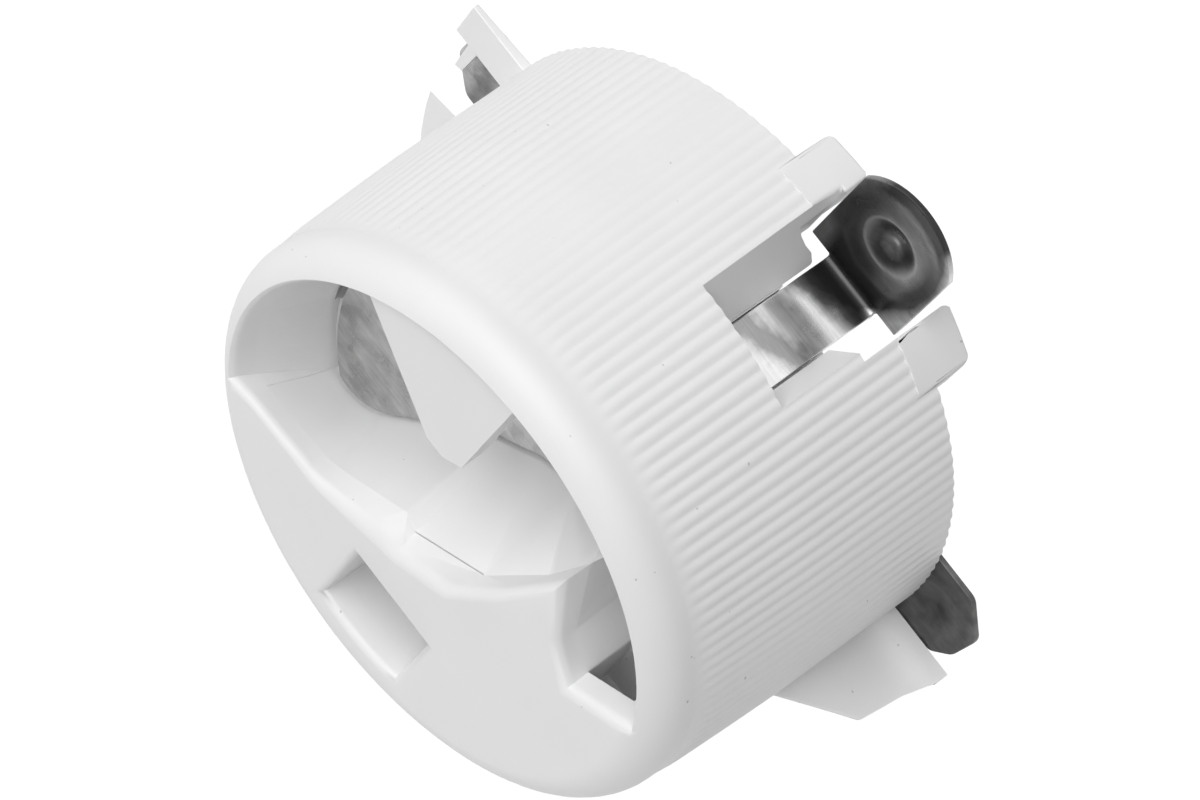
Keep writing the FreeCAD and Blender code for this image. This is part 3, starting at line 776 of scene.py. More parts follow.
def pocket_cutter():
    """The finger pocket with its rounded crest."""
    base = pocket_points()
    rows = crest_rows(POCKET_ROUND, 4) + [(POCKET_DEPTH, 0)]
    return mesh_from_rings([[(x, y, z) for x, z in inset(base, -out)] for y, out in rows])


def slot_points():
    """The contact slot's section, wider towards the outside."""
    half = [(SLOT_HALF_INSIDE, SLOT_FLOOR), (SLOT_HALF_INSIDE, SLOT_INSIDE)]
    half.append((SLOT_HALF_OUTSIDE, SLOT_OUTSIDE))
    points = [(-SLOT_HALF_INSIDE, SLOT_FLOOR)] + half
    points += [(-x, z) for x, z in half[:0:-1]]
    return [(SLOT_CENTRE + x, z) for x, z in points]


def lug_points(inner_x, side):
    """The section of an axial lug, part of a ring."""
    low, high = sorted((inner_x, inner_x + side * LUG_WIDTH))
    inner_radius, outer_radius = LUG_RADII
    points = []
    for radius, order in ((outer_radius, 1), (inner_radius, -1)):
        edge = []
        for step in range(LUG_STEPS + 1):
            x = low + (high - low) * step / LUG_STEPS
            edge.append((x, math.sqrt(radius ** 2 - x ** 2)))
        points += edge[::order]
    return points


def along_line(points, x):
    """The second number on a line of points at the first number x."""
    for (x1, y1), (x2, y2) in zip(points, points[1:]):
        if x <= x2:
            return y1 + (y2 - y1) * (x - x1) / (x2 - x1)
    return points[-1][1]


def ramp_mesh():
    """The long ramp under the right contact, with a soft fold across it. Its
    flank leans back."""
    first, last = RAMP_PLACES[0], RAMP_PLACES[-1]
    rings = []
    for x in RAMP_PLACES:
        front = along_line(RAMP_EDGE, x)
        fold = along_line(RAMP_FOLD, x)
        depth = RAMP_FOLD_DEPTH * (1 - RAMP_FOLD_FADE * (x - first) / (last - first))
        top = []
        low = []
        for step in range(RAMP_STEPS + 1):
            y = front + (LUG_BACK - front) * step / RAMP_STEPS
            reach = RAMP_FOLD_FRONT if y < fold else RAMP_FOLD_REAR
            share = max(1 - abs(y - fold) / reach, 0)
            drop = depth * share ** 2 * (3 - 2 * share)
            top.append((x, y, RAMP_TOP_Z - drop))
            low.append((x, min(y + RAMP_LEAN, LUG_BACK + POINT_GAP * step), RAMP_LOW_Z))
        rings.append(top + low[::-1])
    return mesh_from_rings(rings)


def flange_mesh():
    """The thin lug beside the left contact, round along its outer edge. Its
    upper side leans back to nothing."""
    inner, outer = FLANGE_RADII
    rings = []
    for y, (first, last) in zip(FLANGE_DEPTH, (FLANGE_FRONT_ANGLES, FLANGE_BACK_ANGLES)):
        outline = arc_points(outer, first, last, FLANGE_STEPS)
        outline += arc_points(inner, last, first, FLANGE_STEPS)
        rings.append([(x, y, z) for x, z in outline])
    return mesh_from_rings(rings)


def notch_left_cutter():
    """The notch on the left of the slot, whose end curves in."""
    top = SLOT_OUTSIDE + 1
    far = LUG_END + 1
    outline = [(NOTCH_LEFT_END[0][0], top)] + NOTCH_LEFT_END
    outline += [(NOTCH_LEFT_END[-1][0], NOTCH_FLOOR), (far, NOTCH_FLOOR), (far, top)]
    return mesh_from_rings([[(x, y, z) for y, z in outline] for x in (NOTCH_LEFT, SLOT_CENTRE)])


def leg_room(start, end, inner, outer):
    """Solids for the room of the two side contacts' legs."""
    right = block((inner, outer), around(RIGHT_OFFSET, LEG_ROOM_HALF), (start, end))
    left = block((-outer, -inner), around(-LEFT_OFFSET, LEG_ROOM_HALF), (start, end))
    return [right, left]


def cap_edge_weight(middle, sides):
    """Only the lugs, the ramp and the bar are softened: the ribs are round
    already. The lugs' outer corners get the whole width."""
    out = math.hypot(middle.x, middle.z)
    if RIBBED in sides or out < CAP_SOFT_RADIUS or middle.y < BORE_TAPER_END:
        return 0.0
    if abs(middle.x) < LUG_REACH_X:
        if middle.y < LUG_START + LUG_OVERLAP:
            return 0.0
        at_end = middle.y > LUG_END - EDGE_MARGIN / 2
        between = abs(out - sum(LUG_RADII) / 2) < 0.5
        return 1.0 if at_end and between else LUG_EDGE_SHARE
    if middle.x < 0:
        return BAR_EDGE_SHARE if middle.z > BAR_Z[0] + EDGE_MARGIN else 0.0
    soft = middle.x < RAMP_SOFT_END and middle.y < LUG_BACK - EDGE_MARGIN
    return RAMP_EDGE_SHARE if soft else 0.0


def ribbed_barrel(material):
    """The cap's barrel with its ribs, whose faces are marked."""
    cap = new_object("grip_cap_moulding", barrel_mesh())
    run_tree(cap, rib_tree(), {
        "Rib Count": float(RIB_COUNT),
        "Rib Height": RIB_HEIGHT,
        "Rib Start": RIB_START - RIB_FADE / 2,
        "Rib Fade": RIB_FADE,
        "Least Radius": CAP_FRONT_RADIUS - 0.5,
    })
    cap.data.materials.append(material)
    cap.data.materials.append(material)
    for face in cap.data.polygons:
        middle = face.center
        on_skin = math.hypot(middle.x, middle.z) > SKIN_RADIUS and middle.y > SKIN_DEPTH
        face.material_index = RIBBED if on_skin else PLAIN
    return cap


def grip_cap(material):
    """The ribbed cap: barrel, web, tongue, lugs and ramps in one."""
    cap = ribbed_barrel(material)
    within = drum(TONGUE_RADIUS, -1, BORE_TAPER_END)
    end = CAP_LENGTH + 1
    cuts = [
        drum(CAP_BORE_RADIUS, WEB_THICKNESS, CAP_LENGTH + 5),
        mouth_cutter(),
        taper_cutter(),
        pocket_cutter(),
    ]
    joins = [
        prism(lug_points(NOTCH_LEFT + LUG_OVERLAP, -1), LUG_START, LUG_END),
        prism(lug_points(NOTCH_RIGHT - LUG_OVERLAP, 1), LUG_START, LUG_END),
        ramp_mesh(),
        slab(BAR, *BAR_Z),
        prism(HOOK, *HOOK_DEPTH),
        flange_mesh(),
        combined(prism(TONGUE, *TONGUE_DEPTH), [(within, "INTERSECT")]),
    ]
    notch_x = (SLOT_CENTRE - 1, NOTCH_RIGHT)
    notch_z = (NOTCH_FLOOR, SLOT_OUTSIDE + 1)
    leg_x = around(SLOT_CENTRE, LEG_ROOM_HALF)
    leg_z = (SHELL_INNER_RADIUS, LEG_ROOM_TOP)
    last_cuts = [
        prism(slot_points(), SLOT_START, end),
        notch_left_cutter(),
        block(notch_x, notch_z, (NOTCH_RIGHT_START, LUG_END + 1)),
        block(leg_x, leg_z, (BORE_TAPER_END, end)),
        *leg_room(BORE_TAPER_END, end, SHELL_INNER_RADIUS, LEG_OUTER + PLAY),
        *leg_room(CAP_LENGTH - BEND_RADIUS, end, BEND_ROOM_INNER, LEG_OUTER + BEND_RADIUS),
    ]
    for meshes, operation in ((cuts, "DIFFERENCE"), (joins, "UNION"), (last_cuts, "DIFFERENCE")):
        for mesh in meshes:
            combine(cap, mark_faces(mesh, PLAIN), operation)
    soften(cap, CAP_SOFT_WIDTH, 4, SHARP_ANGLE, cap_edge_weight)
    finish_piece(cap, "grip_cap", material, CAP_SMOOTH_ANGLE)


# Contact carrier


def foot_outline():
    """The foot of the main recess on the carrier's floor."""
    return smooth_path(WALL_FOOT) + FOOT_END + OVER_BORE


def recess_cutter():
    """The main recess, leaning in from the web's back to the floor."""
    top = web_back() + [RECESS_END] + OVER_BORE
    foot = foot_outline()
    rows = [(top, CUT_START), (top, WEB_THICKNESS), (foot, BORE_TAPER_END), (foot, FLOOR_FRONT)]
    return mesh_from_rings([[(x, y, z) for x, z in outline] for outline, y in rows])


def crack_cutter():
    """The thin gap between the web's bevel and the carrier's wall."""
    edge = BEVEL_EDGE[:2]
    far = [(x + CRACK_REACH, z - CRACK_REACH) for x, z in edge]
    near = [(x - CRACK_BACK, z + CRACK_BACK) for x, z in edge]
    return prism(near + far[::-1], CUT_START, WEB_THICKNESS + CRACK_WIDTH)


def pin_slot_cutters():
    """Two hooked slots in the seat's wall for the pins of a bayonet base."""
    cutters = []
    reach = SEAT_OUTER_RADIUS + 1
    inner = SEAT_RADIUS - PIN_SLOT_OVERLAP
    for side in (1, -1):
        run_z = sorted((side * inner, side * reach))
        run = block(around(0, PIN_SLOT_HALF), run_z, (PIN_SLOT_BOTTOM, CARRIER_END + 1))
        first = 180 - 90 * side
        last = first - PIN_SLOT_TURN
        turn = arc_points(reach, first, last) + arc_points(inner, last, first)
        cutters += [run, prism(turn, PIN_SLOT_BOTTOM, PIN_SLOT_BOTTOM + 2 * PIN_SLOT_HALF)]
    return cutters


def carrier_edge_weight(middle, sides):
    """Edges beside the cap's bore and under its web stay sharp, so that no
    groove shows there."""
    in_bore = math.hypot(middle.x, middle.z) > CARRIER_RADIUS - SHARP_BORE_RING
    under_web = middle.y < WEB_THICKNESS + SHARP_WEB_DEPTH
    return 0.0 if in_bore or under_web else 1.0


def sheet_rooms():
    """Solids for the room that the contacts' sheet takes in the carrier."""
    leg_inner = LEG_OUTER - SHEET - PLAY
    bend = leg_inner - BEND_RADIUS
    past = CARRIER_RADIUS + 1
    end = CARRIER_END + 1
    blade_front = BORE_TAPER_END - PLAY
    right_z = around(RIGHT_OFFSET, LEG_ROOM_HALF)
    left_z = around(-LEFT_OFFSET, LEG_ROOM_HALF)
    top_x = around(SLOT_CENTRE, LEG_ROOM_HALF)
    pad_y = (FLOOR_BACK, FLOOR_BACK + SHEET + PLAY)
    finger_x = around(FINGER_X, FINGER_HALF + FINGER_ROOM)
    finger_z = (FINGER_Z[0] - FINGER_ROOM, FINGER_Z[1] + FINGER_ROOM)
    return [
        block((-past, 3 - SEAT_RADIUS), left_z, pad_y),
        block((SEAT_RADIUS - 3, SEAT_OUTER_RADIUS + 1), right_z, pad_y),
        block((-past, -bend), left_z, (FLOOR_BACK, FLOOR_BACK + SHEET + BEND_RADIUS)),
        block(top_x, (bend, past), (FLOOR_FRONT, FLOOR_FRONT + BEND_RADIUS)),
        block((JOGGLE[0] - JOGGLE_ROOM, past), right_z, (blade_front, FLOOR_BACK + PLAY)),
        block(finger_x, finger_z, (BORE_TAPER_END - 1, FLOOR_BACK + 1)),
        block(top_x, (leg_inner, past), (blade_front, end)),
        *leg_room(blade_front, end, leg_inner, past),
    ]


def contact_carrier(material):
    """The insert: front block with its recesses, shell and lamp seat."""
    profile = [
        (0, WEB_THICKNESS),
        (CARRIER_RADIUS, WEB_THICKNESS),
        (CARRIER_RADIUS, CARRIER_END),
        (SHELL_INNER_RADIUS, CARRIER_END),
        (SHELL_INNER_RADIUS, FLOOR_BACK),
        (SEAT_OUTER_RADIUS, FLOOR_BACK),
        (SEAT_OUTER_RADIUS, CARRIER_END),
        (SEAT_RADIUS, CARRIER_END),
        (SEAT_RADIUS, SEAT_LEDGE),
        (SEAT_LEDGE_RADIUS, SEAT_LEDGE),
        (SEAT_LEDGE_RADIUS, FLOOR_BACK),
        (0, FLOOR_BACK),
    ]
    carrier = new_object("contact_carrier_moulding", lathe(profile, CARRIER_SEGMENTS))
    window = [BEVEL_EDGE[-1], HORN_RIGHT, WINDOW_CORNER]
    window += WINDOW_LOW + WINDOW_OVER_BORE + [RECESS_END]
    cuts = [
        recess_cutter(),
        prism(window, WEB_THICKNESS - 1, BORE_TAPER_END),
        crack_cutter(),
        prism(pocket_points(), CUT_START, POCKET_DEPTH),
        *sheet_rooms(),
        *pin_slot_cutters(),
    ]
    for mesh in cuts:
        combine(carrier, mesh, "DIFFERENCE")
    soften(carrier, CARRIER_SOFT_WIDTH, 2, SHARP_ANGLE, carrier_edge_weight)
    finish_piece(carrier, "contact_carrier", material)


# Contacts


def round_corners(path, radius, steps=5, closed=False):
    """The path with its corners turned into short arcs."""
    count = len(path)
    rounded = []
    for index, corner in enumerate(path):
        if not closed and index in (0, count - 1):
            rounded.append(corner)
            continue
        here = Vector(corner)
        inward = (Vector(path[index - 1]) - here)
        onward = (Vector(path[(index + 1) % count]) - here)
        setback = min(radius, CORNER_LIMIT * inward.length, CORNER_LIMIT * onward.length)
        start = here + inward.normalized() * setback
        end = here + onward.normalized() * setback
        for step in range(steps + 1):
            share = step / steps
            near = start.lerp(here, share)
            far = here.lerp(end, share)
            rounded.append(tuple(near.lerp(far, share)))
    return rounded


def bent_strip(path, width):
    """A sheet strip along a path of (x, y) points, centred on z = 0."""
    path = [Vector(place) for place in round_corners(path, SHEET_BEND)]
    sides = []
    for index, here in enumerate(path):
        before = path[max(index - 1, 0)]
        after = path[min(index + 1, len(path) - 1)]
        along = (after - before).normalized()
        across = Vector((-along.y, along.x)) * SHEET / 2
        sides.append((here + across, here - across))
    outline = [tuple(side[0]) for side in sides] + [tuple(side[1]) for side in reversed(sides)]
    return slab(outline, -width / 2, width / 2)


def press_head(outline, reach, share):
    """A contact's head with its pressed dimple, hollow in front. share is
    the dimple's part of its full height."""
    back = HEAD_FRONT + SHEET
    width = DIMPLE[0][0]
    bump = [(0, back - DIMPLE_WALL), (width, back - DIMPLE_WALL)]
    bump += [(radius, back + y * share) for radius, y in DIMPLE]
    front = HEAD_FRONT - HOLLOW_START
    hollow = [(0, front), (width - DIMPLE_WALL, front)]
    for radius, y in DIMPLE[:-2]:
        hollow.append((max(radius - DIMPLE_WALL, 0), HEAD_FRONT + y * share))
    hollow.append((0, HEAD_FRONT + DIMPLE[-1][1] * share - HOLLOW_GAP))
    steps = []
    for profile, operation in ((bump, "UNION"), (hollow, "DIFFERENCE")):
        mesh = lathe(profile, DIMPLE_SEGMENTS)
        mesh.transform(Matrix.Translation((reach, 0, 0)))
        steps.append((mesh, operation))
    return combined(prism(outline, HEAD_FRONT, back), steps)


def place_contact(contact, parts, lateral, turn):
    """Joins a contact's parts and turns it into place."""
    for mesh in parts:
        combine(contact, mesh, "UNION")
    place = Matrix.Rotation(math.radians(turn), 4, "Y") @ Matrix.Translation((0, 0, lateral))
    contact.data.transform(place)


def finish_contact(contact, node, material):
    """Breaks the cut edges of the sheet and finishes the contact."""
    soften(contact, SHEET_SOFT_WIDTH, 2, SHEET_SHARP_ANGLE)
    finish_piece(contact, node, material)


def side_contact(node, start, shift, lateral, turn, material):
    """A side contact: blade, leg and head, with its lamp pad. shift moves
    the head's end."""
    head_y = HEAD_FRONT + SHEET / 2
    path = start + [(LEG_CENTRE, start[-1][1]), (LEG_CENTRE, head_y)]
    path.append((HEAD_SHOULDER + HEAD_OVERLAP, head_y))
    contact = new_object(node + "_pressing", bent_strip(path, LEG_WIDTH))
    moved = [(x + shift * (x > HEAD_SHOULDER), z) for x, z in BLUNT_HEAD]
    outline = round_corners(moved, HEAD_CORNER, closed=True)
    head = press_head(outline, SIDE_DIMPLE_REACH + shift, SIDE_DIMPLE_SHARE)
    pad = drum(PAD_RADIUS, FLOOR_BACK, FLOOR_BACK + SHEET, PAD_SEGMENTS)
    pad.transform(Matrix.Translation((PAD_REACH, 0, 0)))
    place_contact(contact, [head, pad], lateral, turn)
    finish_contact(contact, node, material)


def right_contact(material):
    """The blade that lies bare beside the horn, and its head."""
    pad_y = FLOOR_BACK + SHEET / 2
    start = [(PAD_REACH, pad_y), (JOGGLE[0], pad_y), (JOGGLE[1], BORE_TAPER_END + SHEET / 2)]
    side_contact("right_contact", start, 0.0, RIGHT_OFFSET, 0, material)


def left_contact(material):
    """The contact behind the bar, a little shorter than the right one."""
    start = [(PAD_REACH, FLOOR_BACK + SHEET / 2)]
    side_contact("left_contact", start, LEFT_HEAD_SHIFT, LEFT_OFFSET, 180, material)


def round_head_outline():
    """The top contact's head: an arc at the end and a neck at the leg."""
    reach = math.sqrt(ROUND_HEAD_RADIUS ** 2 - ROUND_HEAD_HALF ** 2)
    limit = math.degrees(math.atan2(ROUND_HEAD_HALF, reach))
    arc = arc_points(ROUND_HEAD_RADIUS, -limit, limit, ROUND_HEAD_STEPS)
    neck = [(HEAD_SHOULDER, ROUND_HEAD_HALF), (HEAD_SHOULDER, NECK_HALF), (HEAD_FOLD_END, NECK_HALF)]
    neck += [(x, -z) for x, z in reversed(neck)]
    return [(ROUND_HEAD_CENTRE + x, z) for x, z in arc] + neck


def top_plate():
    """The plate on the recess's floor, with a window for its finger."""
    window_x = around(FINGER_X, FINGER_HALF + PLAY)
    return combined(prism(inset(foot_outline(), PLATE_GAP), BORE_TAPER_END, FLOOR_FRONT), [
        (drum(PLATE_RADIUS, BORE_TAPER_END - 1, FLOOR_FRONT + 1), "INTERSECT"),
        (prism(PLATE_RELIEF, 0, CAP_LENGTH), "DIFFERENCE"),
        (block(window_x, FINGER_Z, (BORE_TAPER_END - 1, FLOOR_BACK)), "DIFFERENCE"),
    ])


def top_contact(material):
    """Plate on the floor, waved leg in the slot, and round head."""
    head_y = HEAD_FRONT + SHEET / 2
    plate_y = BORE_TAPER_END + SHEET / 2
    path = [(PLATE_RADIUS - PLATE_OVERLAP, plate_y), (LEG_CENTRE, plate_y)]
    path += [(LEG_CENTRE + out, y) for out, y in LEG_WAVES]
    path += [(LEG_CENTRE, head_y), (HEAD_SHOULDER + HEAD_OVERLAP, head_y)]
    contact = new_object("top_contact_pressing", bent_strip(path, LEG_WIDTH))
    head = press_head(round_head_outline(), ROUND_DIMPLE_REACH, 1.0)
    place_contact(contact, [head], -SLOT_CENTRE, -90)
    finger_path = [(FINGER_ROOT_Z, plate_y), (FINGER_BEND_Z, plate_y), (FINGER_TIP_Z, FINGER_TIP_Y)]
    finger = bent_strip(finger_path, 2 * FINGER_HALF)
    turn = Matrix.Rotation(math.radians(-90), 4, "Y")
    finger.transform(turn @ Matrix.Translation((0, 0, -FINGER_X)))
    combine(contact, top_plate(), "UNION")
    combine(contact, finger, "UNION")
    finish_contact(contact, "top_contact", material)


# Materials


def shader_material(name):
    """An empty node material and its Principled BSDF."""
    material = bpy.data.materials.new(name)
    material.use_nodes = True
    return material, material.node_tree, material.node_tree.nodes["Principled BSDF"]


def shader_group(name, vectors, numbers, outputs):
    """An empty shader node group with vector inputs, number inputs and
    number outputs."""
    tree = bpy.data.node_groups.new(name, "ShaderNodeTree")
    for labels, kind in ((vectors, "NodeSocketVector"), (numbers, "NodeSocketFloat")):
        for label in labels:
            tree.interface.new_socket(label, in_out="INPUT", socket_type=kind)
    for label in outputs:
        tree.interface.new_socket(label, in_out="OUTPUT", socket_type="NodeSocketFloat")
    return tree, tree.nodes.new("NodeGroupInput"), tree.nodes.new("NodeGroupOutput")


def noise_node(tree, place, scale, detail=2.0):
    """Noise on a place, with its size as a value or a link."""
    noise = tree.nodes.new("ShaderNodeTexNoise")
    noise.inputs["Detail"].default_value = detail
    tree.links.new(place, noise.inputs["Vector"])
    if isinstance(scale, (int, float)):
        noise.inputs["Scale"].default_value = scale
    else:
        tree.links.new(scale, noise.inputs["Scale"])
    return noise.outputs["Fac"]


def clamped(tree, value):
    """The value held between 0 and 1."""
    limit = tree.nodes.new("ShaderNodeClamp")
    tree.links.new(value, limit.inputs[0])
    return limit.outputs[0]


def moulding_group():
    """Grain, flow marks and rare dark specks of moulded plastic."""
    numbers = ["Flow Scale", "Speck Scale", "Speck Limit"]
    tree, start, end = shader_group("moulded skin", ["Vector"], numbers, ["Flow", "Specks", "Grain"])
    place = start.outputs["Vector"]
    flow = noise_node(tree, place, start.outputs["Flow Scale"], 3.0)
    speck = noise_node(tree, place, start.outputs["Speck Scale"], 1.0)
    over = math_node(tree, "SUBTRACT", speck, start.outputs["Speck Limit"])
    specks = clamped(tree, math_node(tree, "MULTIPLY", over, SPECK_EDGE))
    fine = noise_node(tree, place, FINE_GRAIN)
    coarse = noise_node(tree, place, COARSE_GRAIN)
    grain = math_node(tree, "MULTIPLY_ADD", coarse, COARSE_SHARE, fine)
    for label, value in (("Flow", flow), ("Specks", specks), ("Grain", grain)):
        tree.links.new(value, end.inputs[label])
    return tree


def pressing_group():
    """Cloud, drawing lines and rings of pressed sheet metal."""
    vectors = ["Vector", "Ring Centre"]
    labels = ["Cloud", "Rings", "Lines", "Distance"]
    tree, start, end = shader_group("pressed sheet", vectors, ["Ring Scale", "Cloud Scale"], labels)
    place = start.outputs["Vector"]
    cloud = noise_node(tree, place, start.outputs["Cloud Scale"], 4.0)
    apart = tree.nodes.new("ShaderNodeVectorMath")
    apart.operation = "DISTANCE"
    tree.links.new(place, apart.inputs[0])
    tree.links.new(start.outputs["Ring Centre"], apart.inputs[1])
    bent = math_node(tree, "MULTIPLY_ADD", cloud, RING_BEND, apart.outputs["Value"])
    turns = math_node(tree, "MULTIPLY", bent, start.outputs["Ring Scale"])
    rings = math_node(tree, "MULTIPLY_ADD", math_node(tree, "SINE", turns), 0.5, 0.5)
    stretch = tree.nodes.new("ShaderNodeMapping")
    stretch.inputs["Scale"].default_value = LINE_STRETCH
    tree.links.new(place, stretch.inputs["Vector"])
    lines = noise_node(tree, stretch.outputs[0], LINE_SCALE, 3.0)
    for label, value in zip(labels, (cloud, rings, lines, bent)):
        tree.links.new(value, end.inputs[label])
    return tree


def object_place(tree):
    """The place on the piece, from its own coordinates."""
    return tree.nodes.new("ShaderNodeTexCoord").outputs["Object"]


def place_group(tree, group, values):
    """A node group placed in a material with its own values."""
    node = tree.nodes.new("ShaderNodeGroup")
    node.node_tree = group
    tree.links.new(object_place(tree), node.inputs["Vector"])
    for label, value in values.items():
        node.inputs[label].default_value = value
    return node


def grey_ramp(tree, value, stops, smooth=False):
    """A ramp of greys from (position, grey) stops."""
    ramp = tree.nodes.new("ShaderNodeValToRGB")
    if smooth:
        ramp.color_ramp.interpolation = "EASE"
    elements = ramp.color_ramp.elements
    elements.remove(elements[1])
    elements[0].position = stops[0][0]
    elements[0].color = (stops[0][1],) * 3 + (1,)
    for position, grey in stops[1:]:
        elements.new(position).color = (grey, grey, grey, 1)
    tree.links.new(value, ramp.inputs[0])
    return ramp.outputs[0]


def grey_mix(tree, factor, first, second, blend="MIX"):
    """Two greys mixed by a factor that is a value or a link."""
    mix = tree.nodes.new("ShaderNodeMix")
    mix.data_type = "RGBA"
    mix.blend_type = blend
    if isinstance(factor, (int, float)):
        mix.inputs[0].default_value = factor
    else:
        tree.links.new(factor, mix.inputs[0])
    for socket, value in ((mix.inputs[6], first), (mix.inputs[7], second)):
        if isinstance(value, (int, float)):
            socket.default_value = (value, value, value, 1)
        else:
            tree.links.new(value, socket)
    return mix.outputs[2]


def relief(tree, shader, height, strength, depth):
    """Faint relief from a height that changes over the surface."""
    bump = tree.nodes.new("ShaderNodeBump")
    bump.inputs["Strength"].default_value = strength
    bump.inputs["Distance"].default_value = depth
    tree.links.new(height, bump.inputs["Height"])
    tree.links.new(bump.outputs[0], shader.inputs["Normal"])


def moulded_plastic(name, group, shade):
    """White moulded plastic with faint flow marks and rare specks."""
    material, tree, shader = shader_material(name)
    skin = place_group(tree, group, {
        "Flow Scale": FLOW_SCALE,
        "Speck Scale": SPECK_SCALE,
        "Speck Limit": SPECK_LIMIT,
    })
    flow = grey_ramp(tree, skin.outputs["Flow"], [(0.3, shade - SHADE_DRIFT), (0.7, shade)])
    colour = grey_mix(tree, skin.outputs["Specks"], flow, SPECK_GREY)
    tree.links.new(colour, shader.inputs["Base Color"])
    rough = grey_ramp(tree, skin.outputs["Flow"], PLASTIC_ROUGH)
    tree.links.new(rough, shader.inputs["Roughness"])
    relief(tree, shader, skin.outputs["Grain"], GRAIN_STRENGTH, GRAIN_DEPTH)
    return material


def metal_finish(tree, shader, sheet, colour, rough):
    """Colour, gloss and faint relief that the contacts share."""
    lines = grey_ramp(tree, sheet.outputs["Lines"], LINE_GREYS)
    colour = grey_mix(tree, 1.0, colour, lines, "MULTIPLY")
    tree.links.new(colour, shader.inputs["Base Color"])
    shader.inputs["Metallic"].default_value = 1.0
    gloss = grey_ramp(tree, sheet.outputs["Cloud"], [(0.3, rough - 0.06), (0.7, rough + 0.08)])
    tree.links.new(gloss, shader.inputs["Roughness"])
    relief(tree, shader, sheet.outputs["Rings"], RING_STRENGTH, RING_DEPTH)


def drawing_place(tree):
    """The depth and the sideways place on the part, in millimetres."""
    parts = tree.nodes.new("ShaderNodeSeparateXYZ")
    tree.links.new(object_place(tree), parts.inputs[0])
    depth = math_node(tree, "MULTIPLY_ADD", parts.outputs["Y"], 1 / MILLIMETRE, CAP_LENGTH)
    return depth, math_node(tree, "DIVIDE", parts.outputs["X"], MILLIMETRE)


def from_dimple(tree, sheet):
    """The distance from the dimple as a share of GREY_REACH."""
    return math_node(tree, "DIVIDE", sheet.outputs["Distance"], GREY_REACH * MILLIMETRE)


def painted_head_reflections(tree, far, across):
    """Painted reflection rings round the dimple, with painted sheen on the
    shoulders and a painted highlight on the corner on the right."""
    head = grey_ramp(tree, far, HEAD_PAINTED_REFLECTIONS)
    # Painted sheen on the shoulders
    aside = math_node(tree, "SUBTRACT", across, SLOT_CENTRE)
    apart = math_node(tree, "SUBTRACT", math_node(tree, "ABSOLUTE", aside), SHOULDER_START)
    off = math_node(tree, "MULTIPLY_ADD", far, SHOULDER_RISE, SHOULDER_DROP)
    on_shoulder = math_node(tree, "MULTIPLY", clamped(tree, apart), clamped(tree, off))
    head = grey_mix(tree, on_shoulder, head, SHOULDER_PAINTED_SHEEN)
    # Painted highlight on the right corner
    out = math_node(tree, "MULTIPLY", far, CORNER_RISE)
    corner = math_node(tree, "MULTIPLY_ADD", aside, CORNER_SLANT, out)
    in_corner = clamped(tree, math_node(tree, "SUBTRACT", corner, CORNER_START))
    return grey_mix(tree, in_corner, head, CORNER_PAINTED_HIGHLIGHT)


def top_contact_metal(group):
    """Painted highlights and dark bands on the leg, painted reflection rings round the dimple on the
    head, brushed plate.
    """
    material, tree, shader = shader_material("top contact sheet")
    sheet = place_group(tree, group, {
        "Ring Centre": point(SLOT_CENTRE, HEAD_FRONT, ROUND_DIMPLE_REACH),
        "Ring Scale": TOP_RING_SCALE,
        "Cloud Scale": TOP_CLOUD_SCALE,
    })
    depth, across = drawing_place(tree)
    # Painted highlights and dark bands along the leg, slanted and waved by the cloud
    slanted = math_node(tree, "MULTIPLY_ADD", across, BAND_SLANT, depth)
    wavy = math_node(tree, "MULTIPLY_ADD", sheet.outputs["Cloud"], BAND_WAVE, slanted)
    past = math_node(tree, "SUBTRACT", wavy, LEG_GREY_START)
    leg = grey_ramp(tree, math_node(tree, "DIVIDE", past, LEG_GREY_SPAN), LEG_PAINTED_HIGHLIGHT_BANDS)
    head = painted_head_reflections(tree, from_dimple(tree, sheet), across)
    on_head = clamped(tree, math_node(tree, "SUBTRACT", depth, HEAD_FRONT - HEAD_BLEND))
    colour = grey_mix(tree, on_head, leg, head)
    plate = grey_ramp(tree, sheet.outputs["Cloud"], PLATE_GREYS)
    on_plate = clamped(tree, math_node(tree, "SUBTRACT", FLOOR_FRONT + PLATE_BLEND, depth))
    colour = grey_mix(tree, on_plate, colour, plate)
    metal_finish(tree, shader, sheet, colour, TOP_ROUGH)
    return material


def side_contact_metal(group, name, centre, greys):
    """Mottled sheet whose greys are painted reflections, darker on the right contact as painted
    shade, with painted shade round the dimple.
    """
    material, tree, shader = shader_material(name)
    sheet = place_group(tree, group, {
        "Ring Centre": centre,
        "Ring Scale": SIDE_RING_SCALE,
        "Cloud Scale": SIDE_CLOUD_SCALE,
    })
    # The cloud greys are painted reflections, darker on the right contact as painted shade
    cloud = grey_ramp(tree, sheet.outputs["Cloud"], greys)
    # Painted shade round the dimple
    spot = grey_ramp(tree, from_dimple(tree, sheet), DIMPLE_PAINTED_SHADE, True)
    colour = grey_mix(tree, 1.0, cloud, spot, "MULTIPLY")
    depth = drawing_place(tree)[0]
    on_blade = clamped(tree, math_node(tree, "SUBTRACT", CAP_LENGTH / 2, depth))
    colour = grey_mix(tree, on_blade, colour, BLADE_GREY)
    metal_finish(tree, shader, sheet, colour, SIDE_ROUGH)
    return material


# Camera, light and floor


def soft_sun(name, direction, strength):
    """A wide, soft lamp that shines from one direction."""
    data = bpy.data.lights.new(name, "SUN")
    data.energy = strength
    data.angle = math.radians(LAMP_SPREAD)
    lamp = bpy.data.objects.new(name, data)
    lamp.rotation_euler = Vector(direction).to_track_quat("Z", "Y").to_euler()
    bpy.context.scene.collection.objects.link(lamp)


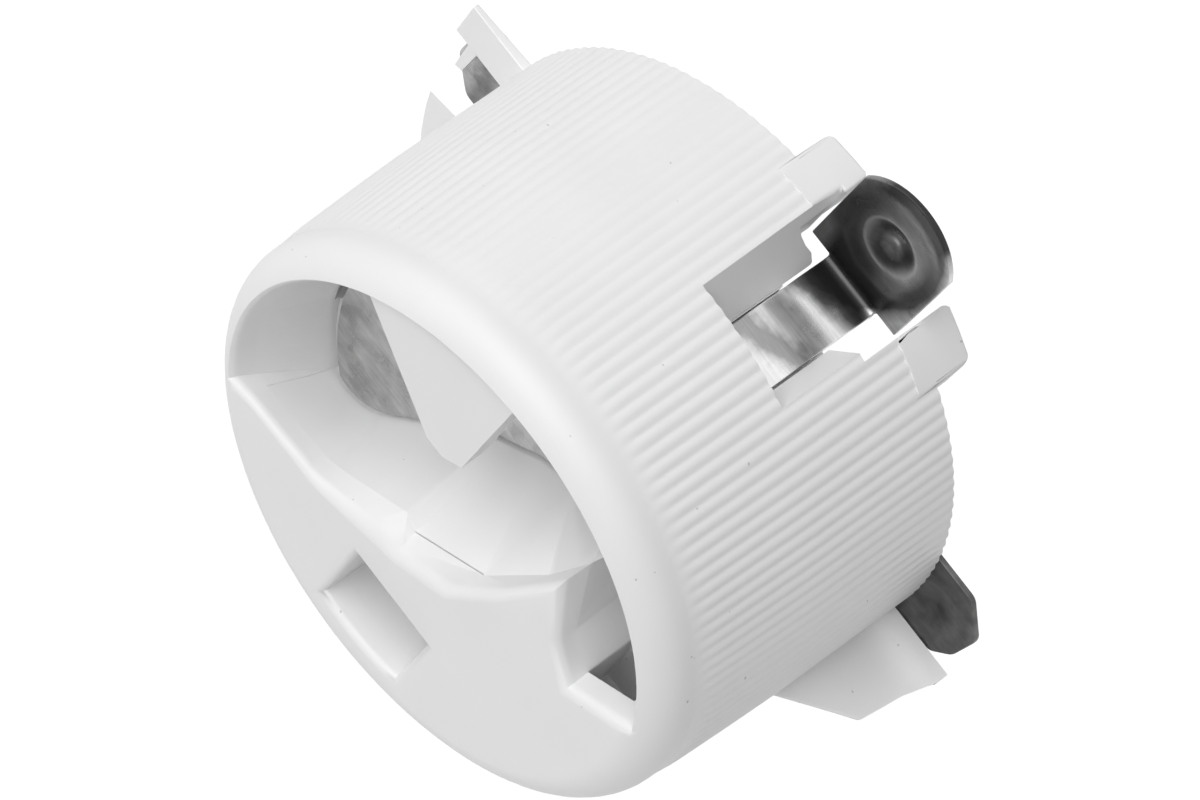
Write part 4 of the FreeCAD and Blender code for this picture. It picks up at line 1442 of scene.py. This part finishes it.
def seen_directly(tree):
    """1 where a ray from the camera, a reflection or a glass arrives."""
    rays = tree.nodes.new("ShaderNodeLightPath").outputs
    seen = math_node(tree, "MAXIMUM", rays["Is Camera Ray"], rays["Is Glossy Ray"])
    return math_node(tree, "MAXIMUM", seen, rays["Is Transmission Ray"])


def photo_camera():
    """The photograph's camera."""
    scene = bpy.context.scene
    camera_data = bpy.data.cameras.new("camera")
    camera_data.lens = CAMERA_LENS
    camera_data.sensor_width = CAMERA_SENSOR
    camera_data.clip_start = CAMERA_NEAR
    camera = bpy.data.objects.new("camera", camera_data)
    right = Vector(CAMERA_RIGHT).normalized()
    up = Vector(CAMERA_UP).normalized()
    turn = Matrix((right, up, right.cross(up))).transposed().to_4x4()
    camera.matrix_world = Matrix.Translation(point(*CAMERA_PLACE)) @ turn
    scene.collection.objects.link(camera)
    scene.camera = camera


def studio():
    """Plain light, a white sky and a pale floor."""
    soft_sun("key", KEY_DIRECTION, KEY_STRENGTH)
    soft_sun("side", SIDE_DIRECTION, SIDE_STRENGTH)

    scene = bpy.context.scene
    world = bpy.data.worlds.new("sky")
    world.use_nodes = True
    scene.world = world
    tree = world.node_tree
    sky = tree.nodes["Background"]
    strength = math_node(tree, "MULTIPLY_ADD", seen_directly(tree), 1.0 - SKY_STRENGTH, SKY_STRENGTH)
    tree.links.new(strength, sky.inputs["Strength"])
    sky.inputs["Color"].default_value = (1, 1, 1, 1)
    scene.view_settings.view_transform = "Standard"

    floor_mesh = bpy.data.meshes.new("floor")
    half = FLOOR_SIZE / 2
    low = cad_box[0][2] - FLOOR_DROP
    corners = [(-half, -half, low), (half, -half, low), (half, half, low), (-half, half, low)]
    floor_mesh.from_pydata(corners, [], [(0, 1, 2, 3)])
    floor = new_object("floor", floor_mesh)
    material, tree, shader = shader_material("pale floor")
    shader.inputs["Base Color"].default_value = (FLOOR_GREY, FLOOR_GREY, FLOOR_GREY, 1)
    shader.inputs["Roughness"].default_value = 1.0
    glow = math_node(tree, "MULTIPLY", seen_directly(tree), FLOOR_GLOW)
    shader.inputs["Emission Color"].default_value = (1, 1, 1, 1)
    tree.links.new(glow, shader.inputs["Emission Strength"])
    floor_mesh.materials.append(material)


photo_camera()
studio()
skin = moulding_group()
sheet_marks = pressing_group()
right_spot = point(SIDE_DIMPLE_REACH, HEAD_FRONT, RIGHT_OFFSET)
left_spot = point(-SIDE_DIMPLE_REACH - LEFT_HEAD_SHIFT, HEAD_FRONT, -LEFT_OFFSET)
grip_cap(moulded_plastic("white cap plastic", skin, CAP_SHADE))
contact_carrier(moulded_plastic("white carrier plastic", skin, CARRIER_SHADE))
top_contact(top_contact_metal(sheet_marks))
right_contact(side_contact_metal(sheet_marks, "right contact sheet", right_spot, RIGHT_PAINTED_SHADE_GREYS))
left_contact(side_contact_metal(sheet_marks, "left contact sheet", left_spot, LEFT_PAINTED_REFLECTION_GREYS))

bpy.context.view_layer.update()
